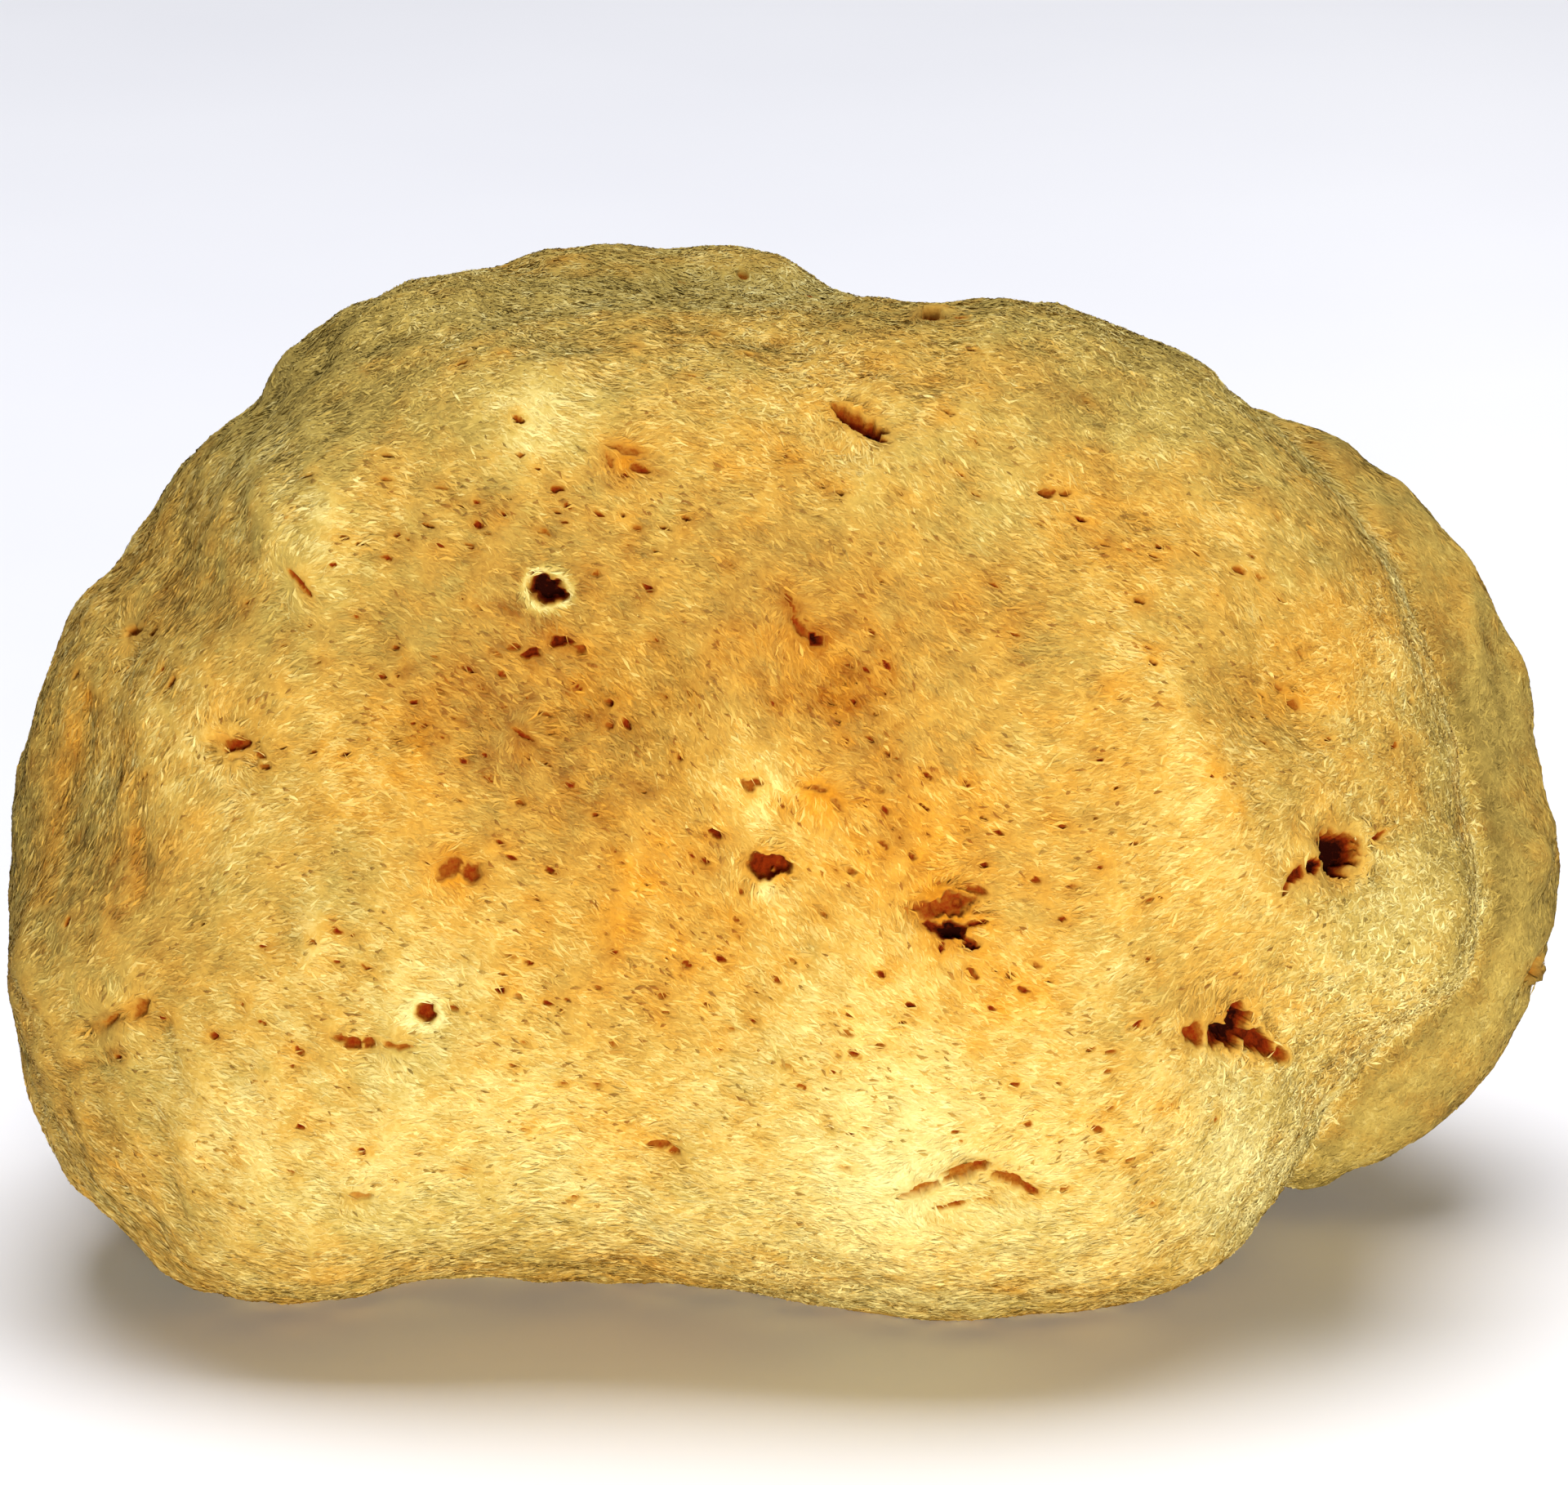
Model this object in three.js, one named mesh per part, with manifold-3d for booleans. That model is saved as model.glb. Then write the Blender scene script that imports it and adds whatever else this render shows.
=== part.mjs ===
// A natural bath sponge, dried and bleached: one soft, lobed lump that grew as a single piece.
// It is wider than it is deep, its porous face leans back, and it is cut flat where it sat on the rock.
// Units are millimetres and degrees, +Z is up, and the porous face looks towards -Y.
import * as THREE from "three";
import { ImprovedNoise } from "three/addons/math/ImprovedNoise.js";
import { mergeVertices } from "three/addons/utils/BufferGeometryUtils.js";
import Module from "manifold-3d";

// The leaning frame: x runs across the face, y goes straight back from it and z climbs it.
const LEAN = 18; // the face leans back this far from upright
const MIDDLE = [-0.96, -3.5, 44.6]; // where the leaning frame's zero lies over the flat base
const EYE = [0, -700, 3.4]; // an eye in front of the face: places on the face are given as it sees them

// The main mass: a pillow whose rim is this outline in the leaning frame, as [across, up]
const OUTLINE = [
  [63.5, -11], [62, -3], [60.5, 4], [57.5, 12.5], [55.5, 19.5], [51, 26], [46, 30.5], [42, 34.3],
  [35, 39.2], [30, 41.6], [24.5, 43.3], [19.5, 44], [14, 43.5], [4, 43.2], [-15, 44.6], [-26.5, 45.2],
  [-31.5, 45.8], [-38.5, 42.8], [-43.3, 39], [-47, 34.3], [-49.6, 31.4], [-53, 29.4], [-55.6, 25.6],
  [-59.5, 19.2], [-63, 16.4], [-67.3, 7], [-69, -2], [-69.6, -11], [-69, -22.5], [-67.2, -30],
  [-63.4, -36.6], [-57.8, -42], [-51, -46], [-44, -47.2], [-37, -46.5], [-32.7, -45.3], [-25.8, -44.8],
  [-14.6, -45], [-4.8, -45.8], [5, -46.4], [10.3, -47.2], [16, -47.6], [27.5, -46.6], [33.7, -45.7],
  [39, -43.2], [43.2, -39], [47.5, -33], [52.5, -25], [57, -21.5], [62, -18],
];
const FRONT_DEPTH = 38;
const BACK_DEPTH = 43;
const PILLOW_POWER = 2.35; // 2 is an ellipse, more is squarer

// Broad swells and hollows of the main mass: the point each faces, how far it rises, its spread in degrees
const SWELLS = [
  { name: "belly", towards: [16, -34, -26], rise: 4.4, spread: 26 },
  { name: "shoulder", towards: [-32, -32, 22], rise: 2.8, spread: 20 },
  { name: "shoulder_knoll", towards: [-23, -29, 33], rise: 2.4, spread: 7 },
  { name: "shoulder_ridge", towards: [-41, -28, 23], rise: 2.8, spread: 8 },
  { name: "shoulder_hollow", towards: [-30, -34, 28], rise: -1.8, spread: 5 },
  { name: "valley", towards: [-20, -38, 9], rise: -5.6, spread: 11 },
  { name: "valley_end", towards: [-35, -35, 8], rise: -3.4, spread: 9 },
  { name: "furrow", towards: [4, -38, 9], rise: -3.4, spread: 7 },
  { name: "brow", towards: [22, -28, 24], rise: -3.4, spread: 18 },
  { name: "brow_knoll", towards: [8, -30, 27], rise: 1.4, spread: 6 },
  { name: "middle_knoll", towards: [-4, -38, 0], rise: 2.0, spread: 7 },
  { name: "middle_dish", towards: [15, -38, -11], rise: -2.2, spread: 6 },
  { name: "right_knoll", towards: [30, -34, 3], rise: 2.4, spread: 10 },
  { name: "right_hollow", towards: [46, -26, 8], rise: -3.6, spread: 8 },
  { name: "right_pit", towards: [49, -24, -6], rise: -1.8, spread: 5 },
  { name: "right_knee", towards: [56, -18, -14], rise: 2.0, spread: 7 },
  { name: "split", towards: [16, -30, -37], rise: -1.8, spread: 6 },
  { name: "left_fold", towards: [-62, -16, -2], rise: -4.2, spread: 7 },
  { name: "left_knoll", towards: [-60, -17, -14], rise: 3.2, spread: 7 },
  { name: "left_dent", towards: [-57, -19, 14], rise: -3.2, spread: 7 },
  { name: "left_dish", towards: [-49, -27, 3], rise: -1.8, spread: 5 },
  { name: "left_foot", towards: [-44, -22, -38], rise: 1.8, spread: 10 },
];

// Lobes that bulge out behind the main mass: their middle and half sizes in the leaning frame,
// and how softly each runs into what it grows from
const LOBES = [
  { name: "right_flank_top", at: [34, 17, 6], half: [33.2, 16, 30.5], blend: 1.5 },
  { name: "right_flank", at: [38, 18, -9], half: [33.6, 16, 30.3], blend: 1.5 },
  { name: "right_knob", at: [62.5, 20, 8], half: [6.4, 8, 5.6], blend: 1.6 },
  { name: "crown", at: [-16, 11, 38], half: [16, 14, 10.9], blend: 4 },
  { name: "crown_right", at: [-3, 10, 37.5], half: [10.6, 12, 10.5], blend: 4 },
  { name: "left_shoulder", at: [-40, 18, 12], half: [19.5, 21, 23], blend: 4 },
  { name: "rump", at: [-8, 31, -8], half: [38, 21, 27], blend: 7 },
  { name: "rear_left", at: [-43, 25, -14], half: [22, 18, 22], blend: 7 },
  { name: "rear_right", at: [37, 29, -5], half: [27, 17, 25], blend: 5 },
  { name: "rear_top", at: [14, 29, 20], half: [24, 17, 18], blend: 7 },
];

// Small lumps all over
const LUMP_SIZES = [
  { spacing: 15, height: 1.2 },
  { spacing: 7, height: 0.55 },
];
const LUMP_SHIFT = [7.3, 2.1, 4.7]; // picks the lumps

// Large water openings on the face, where the eye sees them: [across, up], half sizes, turn and depth
const FACE_OSCULES = [
  { at: [-21.1, 17.2], half: [1.9, 1.5], turn: 0, depth: 9 },
  { at: [6.6, 32.7], half: [2.8, 1.3], turn: -42, depth: 6 },
  { at: [-14.1, 28.9], half: [2.4, 1.7], turn: -20, depth: 2.2 },
  { at: [-1.5, -8.0], half: [2.0, 1.8], turn: 0, depth: 7 },
  { at: [14.8, -11.4], half: [3.2, 1.5], turn: -8, depth: 2.4 },
  { at: [15.2, -13.8], half: [1.9, 1.3], turn: -10, depth: 5 },
  { at: [49.8, -6.6], half: [2.6, 1.8], turn: -30, depth: 9 },
  { at: [46.6, -8.2], half: [1.7, 0.9], turn: 35, depth: 4 },
  { at: [41.4, -22.6], half: [3.0, 1.7], turn: -28, depth: 8 },
  { at: [37.6, -22.8], half: [1.5, 1.2], turn: 0, depth: 3 },
  { at: [11.8, -36.5], half: [2.6, 0.9], turn: 20, depth: 3 },
  { at: [16.6, -35.2], half: [2.3, 1.1], turn: 8, depth: 3.5 },
  { at: [20.4, -36.4], half: [2.2, 1.0], turn: -25, depth: 3.5 },
  { at: [-29.7, -8.1], half: [2.2, 1.5], turn: 0, depth: 2.6 },
  { at: [-31.9, -20.7], half: [1.3, 1.2], turn: 0, depth: 4 },
  { at: [-38.1, -24.0], half: [1.6, 1.0], turn: -10, depth: 3 },
  { at: [-49.3, 3.4], half: [1.9, 1.2], turn: 15, depth: 3.5 },
  { at: [-58.4, -20.5], half: [2.0, 1.0], turn: 40, depth: 2.2 },
  { at: [-58.2, 13.9], half: [2.0, 0.9], turn: -25, depth: 2.2 },
  { at: [24.2, 26.2], half: [1.6, 0.9], turn: 10, depth: 2 },
  { at: [46.1, 7.0], half: [1.7, 1.2], turn: -40, depth: 2.4 },
];

// Water openings on the other sides, by compass from the face (90 is the right side) and height
const OTHER_OSCULES = [
  { compass: 178, height: 12, half: [2.6, 2.1], turn: 10, depth: 8 },
  { compass: 187, height: 31, half: [1.6, 1.2], turn: 60, depth: 4 },
  { compass: 150, height: 30, half: [1.9, 1.6], turn: 0, depth: 6 },
  { compass: 163, height: -8, half: [1.7, 1.1], turn: -20, depth: 4 },
  { compass: 203, height: -6, half: [2.3, 1.6], turn: 50, depth: 5 },
  { compass: 212, height: 14, half: [1.4, 1.2], turn: 0, depth: 3.5 },
  { compass: 222, height: 24, half: [1.8, 1.3], turn: -30, depth: 5 },
  { compass: 238, height: -10, half: [1.9, 1.2], turn: 25, depth: 4 },
  { compass: 128, height: 2, half: [2.2, 1.5], turn: 70, depth: 5 },
  { compass: 112, height: 20, half: [1.5, 1.2], turn: -45, depth: 4 },
  { compass: 103, height: -14, half: [1.8, 1.2], turn: 15, depth: 4 },
  { compass: 255, height: 10, half: [1.7, 1.2], turn: 20, depth: 3.5 },
  { compass: 275, height: 30, half: [1.6, 1.1], turn: -10, depth: 3.5 },
  { compass: 170, height: 58, half: [2.2, 1.6], turn: -15, depth: 6 },
  { compass: 250, height: 52, half: [1.7, 1.3], turn: 40, depth: 4.5 },
  { compass: 120, height: 50, half: [1.9, 1.2], turn: 0, depth: 4.5 },
  { compass: 45, height: 66, half: [1.6, 1.2], turn: 35, depth: 4 },
];
const OSCULE_SIDES = 10;
const OSCULE_FUNNEL = [[0, 1], [0.45, 0.82], [0.78, 0.42], [1, 0]]; // shares of its width and its depth
const OSCULE_FLARE = 1.12; // share of its width where its cutter ends
const OSCULE_ABOVE = 2.5; // how far an opening's cutter stands out of the surface
const OSCULE_RAGGED = 0.16; // how far its edge strays from an ellipse

const FAR_OUT = 110; // clear of the sponge in every direction
const CLEAR_OF_FACE = 60; // clear of the face on the way from the eye
const CUT_SIDE = 300; // the block that cuts the base flat

// How finely the surface is faceted
const FACET_DETAIL = 16;
const FACET_SPREAD = [1.35, 0.95, 1]; // brings facets to the long ends, so that all are of one size
const SEARCH_STEPS = 200; // steps of the search for the surface
const SEARCH_HALVINGS = 20; // how often it is then narrowed down
const WELD_GAP = 1e-4; // points closer than this are one

const COLOUR = "#d9b56a";

const wasm = await Module();
wasm.setup();

const leaning = new THREE.Matrix4()
  .makeRotationX(THREE.MathUtils.degToRad(-LEAN))
  .setPosition(...MIDDLE);

// The outline as a smooth closed curve, read back as a radius at any angle round its middle
const RIM_STEPS = 720;
const RIM_SAMPLES = 20; // points of the curve read in each step
const rim = new Array(RIM_STEPS).fill(0);
new THREE.CatmullRomCurve3(
  OUTLINE.map(([across, up]) => new THREE.Vector3(across, 0, up)), true, "centripetal",
)
  .getPoints(RIM_STEPS * RIM_SAMPLES)
  .forEach((p) => {
    rim[Math.round(rimPlace(p)) % RIM_STEPS] = Math.hypot(p.x, p.z);
  });

// Where a point lies round the rim, counted in steps
function rimPlace(p) {
  return ((Math.atan2(p.z, p.x) / (2 * Math.PI) + 1) % 1) * RIM_STEPS;
}

function rimRadius(p) {
  const place = rimPlace(p);
  const before = Math.floor(place);
  return THREE.MathUtils.lerp(rim[before % RIM_STEPS], rim[(before + 1) % RIM_STEPS], place - before);
}

const noise = new ImprovedNoise();

function lumps(p) {
  return LUMP_SIZES.reduce((sum, { spacing, height }) =>
    sum + height * noise.noise(
      p.x / spacing + LUMP_SHIFT[0], p.y / spacing + LUMP_SHIFT[1], p.z / spacing + LUMP_SHIFT[2]), 0);
}

const swells = SWELLS.map(({ towards, rise, spread }) => ({
  direction: new THREE.Vector3(...towards).normalize(),
  rise,
  spread: THREE.MathUtils.degToRad(spread),
}));

// How far a point stands outside the main mass, along the line from its middle
function outsidePillow(p) {
  const reach = p.length();
  const depth = p.y < 0 ? FRONT_DEPTH : BACK_DEPTH;
  const across = Math.hypot(p.x, p.z) / rimRadius(p);
  const share = across ** PILLOW_POWER + (Math.abs(p.y) / depth) ** PILLOW_POWER;
  const surface = reach * share ** (-1 / PILLOW_POWER);
  const rise = swells.reduce((sum, swell) => {
    const away = swell.direction.angleTo(p) / swell.spread;
    return sum + swell.rise * Math.exp(-away * away);
  }, 0);
  return reach - surface - rise;
}

// About how far a point stands outside a lobe
function outsideLobe(p, { at, half }) {
  const q = new THREE.Vector3((p.x - at[0]) / half[0], (p.y - at[1]) / half[1], (p.z - at[2]) / half[2]);
  const near = q.length();
  const slope = Math.hypot(q.x / half[0], q.y / half[1], q.z / half[2]);
  return slope > 0 ? (near * (near - 1)) / slope : -Math.min(...half);
}

// The nearer of two surfaces, with the crease between them filled over a width
function joined(a, b, width) {
  const overlap = Math.max(width - Math.abs(a - b), 0);
  return Math.min(a, b) - (overlap * overlap) / (4 * width);
}

function outside(p) {
  let found = outsidePillow(p);
  for (const lobe of LOBES) found = joined(found, outsideLobe(p, lobe), lobe.blend);
  return found - lumps(p);
}

// The first point of the surface on the way from one point to another, both in the leaning frame
function firstOnSurface(from, to) {
  const p = new THREE.Vector3();
  let hit = 1;
  for (let i = 0; i <= SEARCH_STEPS; i++) {
    hit = i / SEARCH_STEPS;
    if (outside(p.lerpVectors(from, to, hit)) < 0) break;
  }
  let low = Math.max(hit - 1 / SEARCH_STEPS, 0);
  for (let i = 0; i < SEARCH_HALVINGS; i++) {
    const half = (low + hit) / 2;
    if (outside(p.lerpVectors(from, to, half)) < 0) hit = half;
    else low = half;
  }
  return new THREE.Vector3().lerpVectors(from, to, hit);
}

// A geometry with only its places left, the shared ones merged
function welded(geometry) {
  geometry.deleteAttribute("normal");
  geometry.deleteAttribute("uv");
  return mergeVertices(geometry, WELD_GAP);
}

function solidOf(geometry) {
  const { attributes, index } = welded(geometry);
  return new wasm.Manifold(new wasm.Mesh({
    numProp: 3,
    vertProperties: attributes.position.array,
    triVerts: new Uint32Array(index.array),
  }));
}

// The whole lump, before anything is cut from it
function lumpGeometry() {
  const geometry = welded(new THREE.IcosahedronGeometry(1, FACET_DETAIL));
  const place = geometry.attributes.position;
  const middle = new THREE.Vector3();
  for (let i = 0; i < place.count; i++) {
    const direction = new THREE.Vector3().fromBufferAttribute(place, i)
      .multiply(new THREE.Vector3(...FACET_SPREAD)).setLength(FAR_OUT);
    const p = firstOnSurface(direction, middle);
    place.setXYZ(i, p.x, p.y, p.z);
  }
  return geometry.applyMatrix4(leaning);
}

// One water opening: a ragged funnel that narrows inwards, from a place on the surface along a way in
function osculeGeometry({ half, turn, depth }, place, inwards, number) {
  const profile = OSCULE_FUNNEL.map(([width, deep]) => new THREE.Vector2(width, -deep * depth));
  profile.push(new THREE.Vector2(OSCULE_FLARE, OSCULE_ABOVE), new THREE.Vector2(0, OSCULE_ABOVE));
  const geometry = new THREE.LatheGeometry(profile, OSCULE_SIDES);
  const points = geometry.attributes.position;
  for (let i = 0; i < points.count; i++) {
    const round = Math.atan2(points.getZ(i), points.getX(i));
    const ragged = 1 + OSCULE_RAGGED * (Math.sin(2 * round + number) + Math.cos(3 * round + 2.4 * number));
    points.setX(i, points.getX(i) * half[0] * ragged);
    points.setZ(i, points.getZ(i) * half[1] * ragged);
  }
  const outwards = inwards.clone().negate();
  const angle = THREE.MathUtils.degToRad(turn);
  const across = new THREE.Vector3(Math.cos(angle), 0, Math.sin(angle));
  across.addScaledVector(outwards, -across.dot(outwards)).normalize();
  const third = new THREE.Vector3().crossVectors(across, outwards);
  const set = new THREE.Matrix4().makeBasis(across, outwards, third).setPosition(place);
  return geometry.applyMatrix4(set).applyMatrix4(leaning);
}

// An opening on the face goes in half along the eye's line and half towards the middle
function faceOscule(oscule, number) {
  const eye = new THREE.Vector3(...EYE);
  const beyond = new THREE.Vector3(oscule.at[0], 0, oscule.at[1]);
  const sight = beyond.clone().sub(eye).normalize();
  const place = firstOnSurface(beyond.clone().addScaledVector(sight, -CLEAR_OF_FACE), beyond);
  const inwards = place.clone().normalize().negate().add(sight).normalize();
  return osculeGeometry(oscule, place, inwards, number);
}

function otherOscule(oscule, number) {
  const compass = THREE.MathUtils.degToRad(oscule.compass);
  const height = THREE.MathUtils.degToRad(oscule.height);
  const outwards = new THREE.Vector3(
    Math.sin(compass) * Math.cos(height), -Math.cos(compass) * Math.cos(height), Math.sin(height));
  const place = firstOnSurface(outwards.clone().multiplyScalar(FAR_OUT), new THREE.Vector3());
  return osculeGeometry(oscule, place, outwards.negate(), number);
}

// What lies under the flat cut of the base
function belowBase() {
  return new THREE.BoxGeometry(CUT_SIDE, CUT_SIDE, CUT_SIDE).translate(0, 0, -CUT_SIDE / 2);
}

function spongeGeometry() {
  const openings = [...FACE_OSCULES.map(faceOscule), ...OTHER_OSCULES.map(otherOscule)].map(solidOf);
  let body = solidOf(lumpGeometry()).subtract(solidOf(belowBase()));
  for (const opening of openings) body = body.subtract(opening);
  const { vertProperties, triVerts } = body.getMesh();
  const geometry = new THREE.BufferGeometry();
  geometry.setAttribute("position", new THREE.BufferAttribute(vertProperties, 3));
  geometry.setIndex(new THREE.BufferAttribute(triVerts, 1));
  geometry.computeVertexNormals();
  return geometry;
}

const spongin = new THREE.MeshStandardMaterial({ color: COLOUR, roughness: 0.95, metalness: 0 });
const sponge = new THREE.Mesh(spongeGeometry(), spongin);
sponge.name = "sponge";

const part = new THREE.Group();
part.add(sponge);

export default part;
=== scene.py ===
"""Dresses the sea sponge: a fine skin with pores, the fibre nap on it, and a plain studio.

Sizes are in millimetres and degrees, as in the part's source, and become metres where a mesh is written.
"""
import logging
from dataclasses import dataclass, field
from enum import Enum
from math import cos, radians, sin
from typing import Any

import bpy
import numpy as np
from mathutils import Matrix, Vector
from mathutils.bvhtree import BVHTree
from mathutils.kdtree import KDTree


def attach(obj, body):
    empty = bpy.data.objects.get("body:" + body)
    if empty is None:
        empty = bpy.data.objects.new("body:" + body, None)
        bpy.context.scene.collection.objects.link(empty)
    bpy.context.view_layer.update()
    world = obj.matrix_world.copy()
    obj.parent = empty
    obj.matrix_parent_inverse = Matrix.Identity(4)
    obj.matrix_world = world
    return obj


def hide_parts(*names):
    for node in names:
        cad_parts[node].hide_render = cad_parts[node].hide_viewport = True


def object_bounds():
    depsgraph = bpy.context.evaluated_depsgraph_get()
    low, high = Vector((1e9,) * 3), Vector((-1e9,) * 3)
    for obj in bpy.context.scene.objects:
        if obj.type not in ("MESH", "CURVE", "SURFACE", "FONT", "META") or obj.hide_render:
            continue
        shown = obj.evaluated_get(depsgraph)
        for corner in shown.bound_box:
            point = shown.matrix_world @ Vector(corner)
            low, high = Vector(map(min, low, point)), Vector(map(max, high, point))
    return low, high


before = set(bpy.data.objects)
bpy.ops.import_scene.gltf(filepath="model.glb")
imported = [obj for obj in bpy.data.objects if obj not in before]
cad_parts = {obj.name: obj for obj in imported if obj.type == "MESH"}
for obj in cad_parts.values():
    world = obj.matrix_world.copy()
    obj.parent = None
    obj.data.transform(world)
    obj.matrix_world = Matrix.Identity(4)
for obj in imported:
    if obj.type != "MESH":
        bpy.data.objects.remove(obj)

CAD_BOX = [list(corner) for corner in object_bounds()]
MM = 0.001
BODY = "root"
NODE = "sponge"
Array = np.ndarray

logging.basicConfig(level=logging.INFO, format="%(message)s")
log = logging.getLogger("sponge")


def linear(hex_colour: str) -> tuple[float, float, float, float]:
    """Turns an sRGB hex colour into the linear colour that a shader takes.

    Args:
        hex_colour: Six hex digits after a hash.

    Returns:
        Red, green, blue and alpha.
    """
    shares = [int(hex_colour[i:i + 2], 16) / 255 for i in (1, 3, 5)]
    parts = [s / 12.92 if s <= 0.04045 else ((s + 0.055) / 1.055) ** 2.4 for s in shares]
    return parts[0], parts[1], parts[2], 1.0


def add_node(
    tree: bpy.types.NodeTree, kind: str, settings: dict[str, Any], links: dict[str, Any]
) -> bpy.types.Node:
    """Adds one shader node.

    Args:
        tree: The material's node tree.
        kind: The node's type.
        settings: Values by property name, or by input name for an input.
        links: The output that feeds each input, by input name or number.

    Returns:
        The new node.
    """
    node = tree.nodes.new(kind)
    for name, value in settings.items():
        if name in node.inputs:
            node.inputs[name].default_value = value
        else:
            setattr(node, name, value)
    for name, output in links.items():
        tree.links.new(output, node.inputs[name])
    return node


def unit(vectors: Array) -> Array:
    """Scales vectors, one a row, to length one."""
    return vectors / np.maximum(np.linalg.norm(vectors, axis=-1, keepdims=True), 1e-12)


def smooth_step(low: float, high: float, values: Array) -> Array:
    """Rises smoothly from 0 at low to 1 at high."""
    share = np.clip((values - low) / (high - low), 0.0, 1.0)
    return share * share * (3.0 - 2.0 * share)


def point_tree(points: Array) -> KDTree:
    """Sorts points by place, for quick search."""
    tree = KDTree(len(points))
    for number, point in enumerate(points):
        tree.insert(point, number)
    tree.balance()
    return tree


def within(tree: KDTree, place: Array, reach: float) -> Array:
    """Gives the numbers of a tree's points within reach of a place."""
    return np.array([number for _, number, _ in tree.find_range(place, reach)], int)


def read_all(items: Any, name: str, width: int = 3) -> Array:
    """Reads one property of all items of a mesh.

    Args:
        items: The mesh's points, faces or values.
        name: The property.
        width: How many numbers it has.

    Returns:
        One row an item.
    """
    values = np.empty(len(items) * width, np.float32)
    items.foreach_get(name, values)
    return values.reshape(-1, width).astype(float)


def new_material(name: str, roughness: float, gloss: float) -> tuple[bpy.types.Material, bpy.types.Node]:
    """Starts a matt material.

    Args:
        name: What the stuff is.
        roughness: How matt it is.
        gloss: How much it reflects.

    Returns:
        The material and its shader.
    """
    made = bpy.data.materials.new(name)
    made.use_nodes = True
    shader = made.node_tree.nodes["Principled BSDF"]
    shader.inputs["Roughness"].default_value = roughness
    shader.inputs["Specular IOR Level"].default_value = gloss
    return made, shader


def select_only(piece: bpy.types.Object) -> None:
    """Makes a piece the only selected and the active object."""
    bpy.ops.object.select_all(action="DESELECT")
    piece.select_set(True)
    bpy.context.view_layer.objects.active = piece


@dataclass(frozen=True)
class Ripples:
    """A smooth, seeded, random field in space, about -1 to 1: a sum of plane waves.

    Attributes:
        spacing: The usual distance between two crests, in millimetres.
        seed: Makes the field its own.
        waves: How many plane waves it sums.
    """

    spacing: float
    seed: int
    waves: int = 40

    def at(self, points: Array) -> Array:
        """Reads the field.

        Args:
            points: Places in millimetres, one a row.

        Returns:
            One value a row.
        """
        draw = np.random.default_rng(self.seed)
        ways = unit(draw.normal(size=(self.waves, 3)))
        pitch = 2 * np.pi / (self.spacing * draw.uniform(0.6, 1.9, self.waves))
        phase = draw.uniform(0, 2 * np.pi, self.waves)
        crests = np.cos(points @ (ways * pitch[:, None]).T + phase)
        return crests.sum(axis=1) / self.waves ** 0.5


# How a hole's edge strays all round it and from place to place: lobes, height, shift and lag
RAGGED = Ripples(0.9, 51)
RAGGED_HEIGHT = 0.15
EDGE_LOBES = ((2, 0.14, 1.0, 0.0), (3, 0.12, 2.4, np.pi / 2), (5, 0.10, 3.1, 0.0))

# A hole's slope ends and starts at these shares of its size, and it has no say past the last
SLOPE = (0.6, 1.05)
SAY = 1.6


@dataclass(frozen=True)
class Sight:
    """The eye in front of the leaning face: places on the face are given as it sees them.

    Attributes:
        lean: How far the face leans back.
        middle: Where the leaning frame's zero lies over the base.
        distance: From the eye to that zero.
        aim_up: How far up the face the eye looks.
        picture_width: What the picture's width holds at that distance.
    """

    lean: float = 18.0
    middle: tuple[float, float, float] = (-0.96, -3.5, 44.6)
    distance: float = 700.0
    aim_up: float = 3.4
    picture_width: float = 140.6

    @property
    def up(self) -> Array:
        """The way up the face."""
        return np.array([0.0, sin(radians(self.lean)), cos(radians(self.lean))])

    @property
    def back(self) -> Array:
        """The way straight into the face."""
        return np.array([0.0, cos(radians(self.lean)), -sin(radians(self.lean))])

    @property
    def eye(self) -> Array:
        """Where the eye stands."""
        return np.array(self.middle) + self.aim_up * self.up - self.distance * self.back

    def towards(self, across: float, up: float) -> Array:
        """Gives the way from the eye to a place on the face.

        Args:
            across: Millimetres to the right of the middle.
            up: Millimetres up the face from the middle.

        Returns:
            A unit vector.
        """
        place = np.array(self.middle) + np.array([across, 0.0, 0.0]) + up * self.up
        return unit(place - self.eye)

    def outwards(self, compass: float, height: float) -> Array:
        """Gives a way out of the sponge.

        Args:
            compass: Degrees from the face to the right.
            height: Degrees up.

        Returns:
            A unit vector.
        """
        turn, rise = radians(compass), radians(height)
        level = sin(turn) * np.array([1.0, 0.0, 0.0]) - cos(turn) * self.back
        return cos(rise) * level + sin(rise) * self.up

    def on_face(self, points: Array) -> Array:
        """Gives where the eye sees points.

        Args:
            points: Places in millimetres, one a row.

        Returns:
            Across and up on the face, one pair a row.
        """
        away = points - self.eye
        scale = self.distance / (away @ self.back)
        return np.stack([away[:, 0] * scale, away @ self.up * scale + self.aim_up], axis=1)


@dataclass(frozen=True)
class Hole:
    """An opening in the skin, where the eye sees it on the face.

    Attributes:
        across: To the right of the face's middle.
        up: Up the face from its middle.
        half: Half its length and half its width.
        turn: How far its length is turned from level.
        depth: How deep it goes.
        dark: How dark it is inside, from 0 to 1: painted shade over the walls' own colour.
        rim: How far its edge stands proud.
    """

    across: float
    up: float
    half: tuple[float, float]
    turn: float
    depth: float
    dark: float
    rim: float = 0.0


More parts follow.
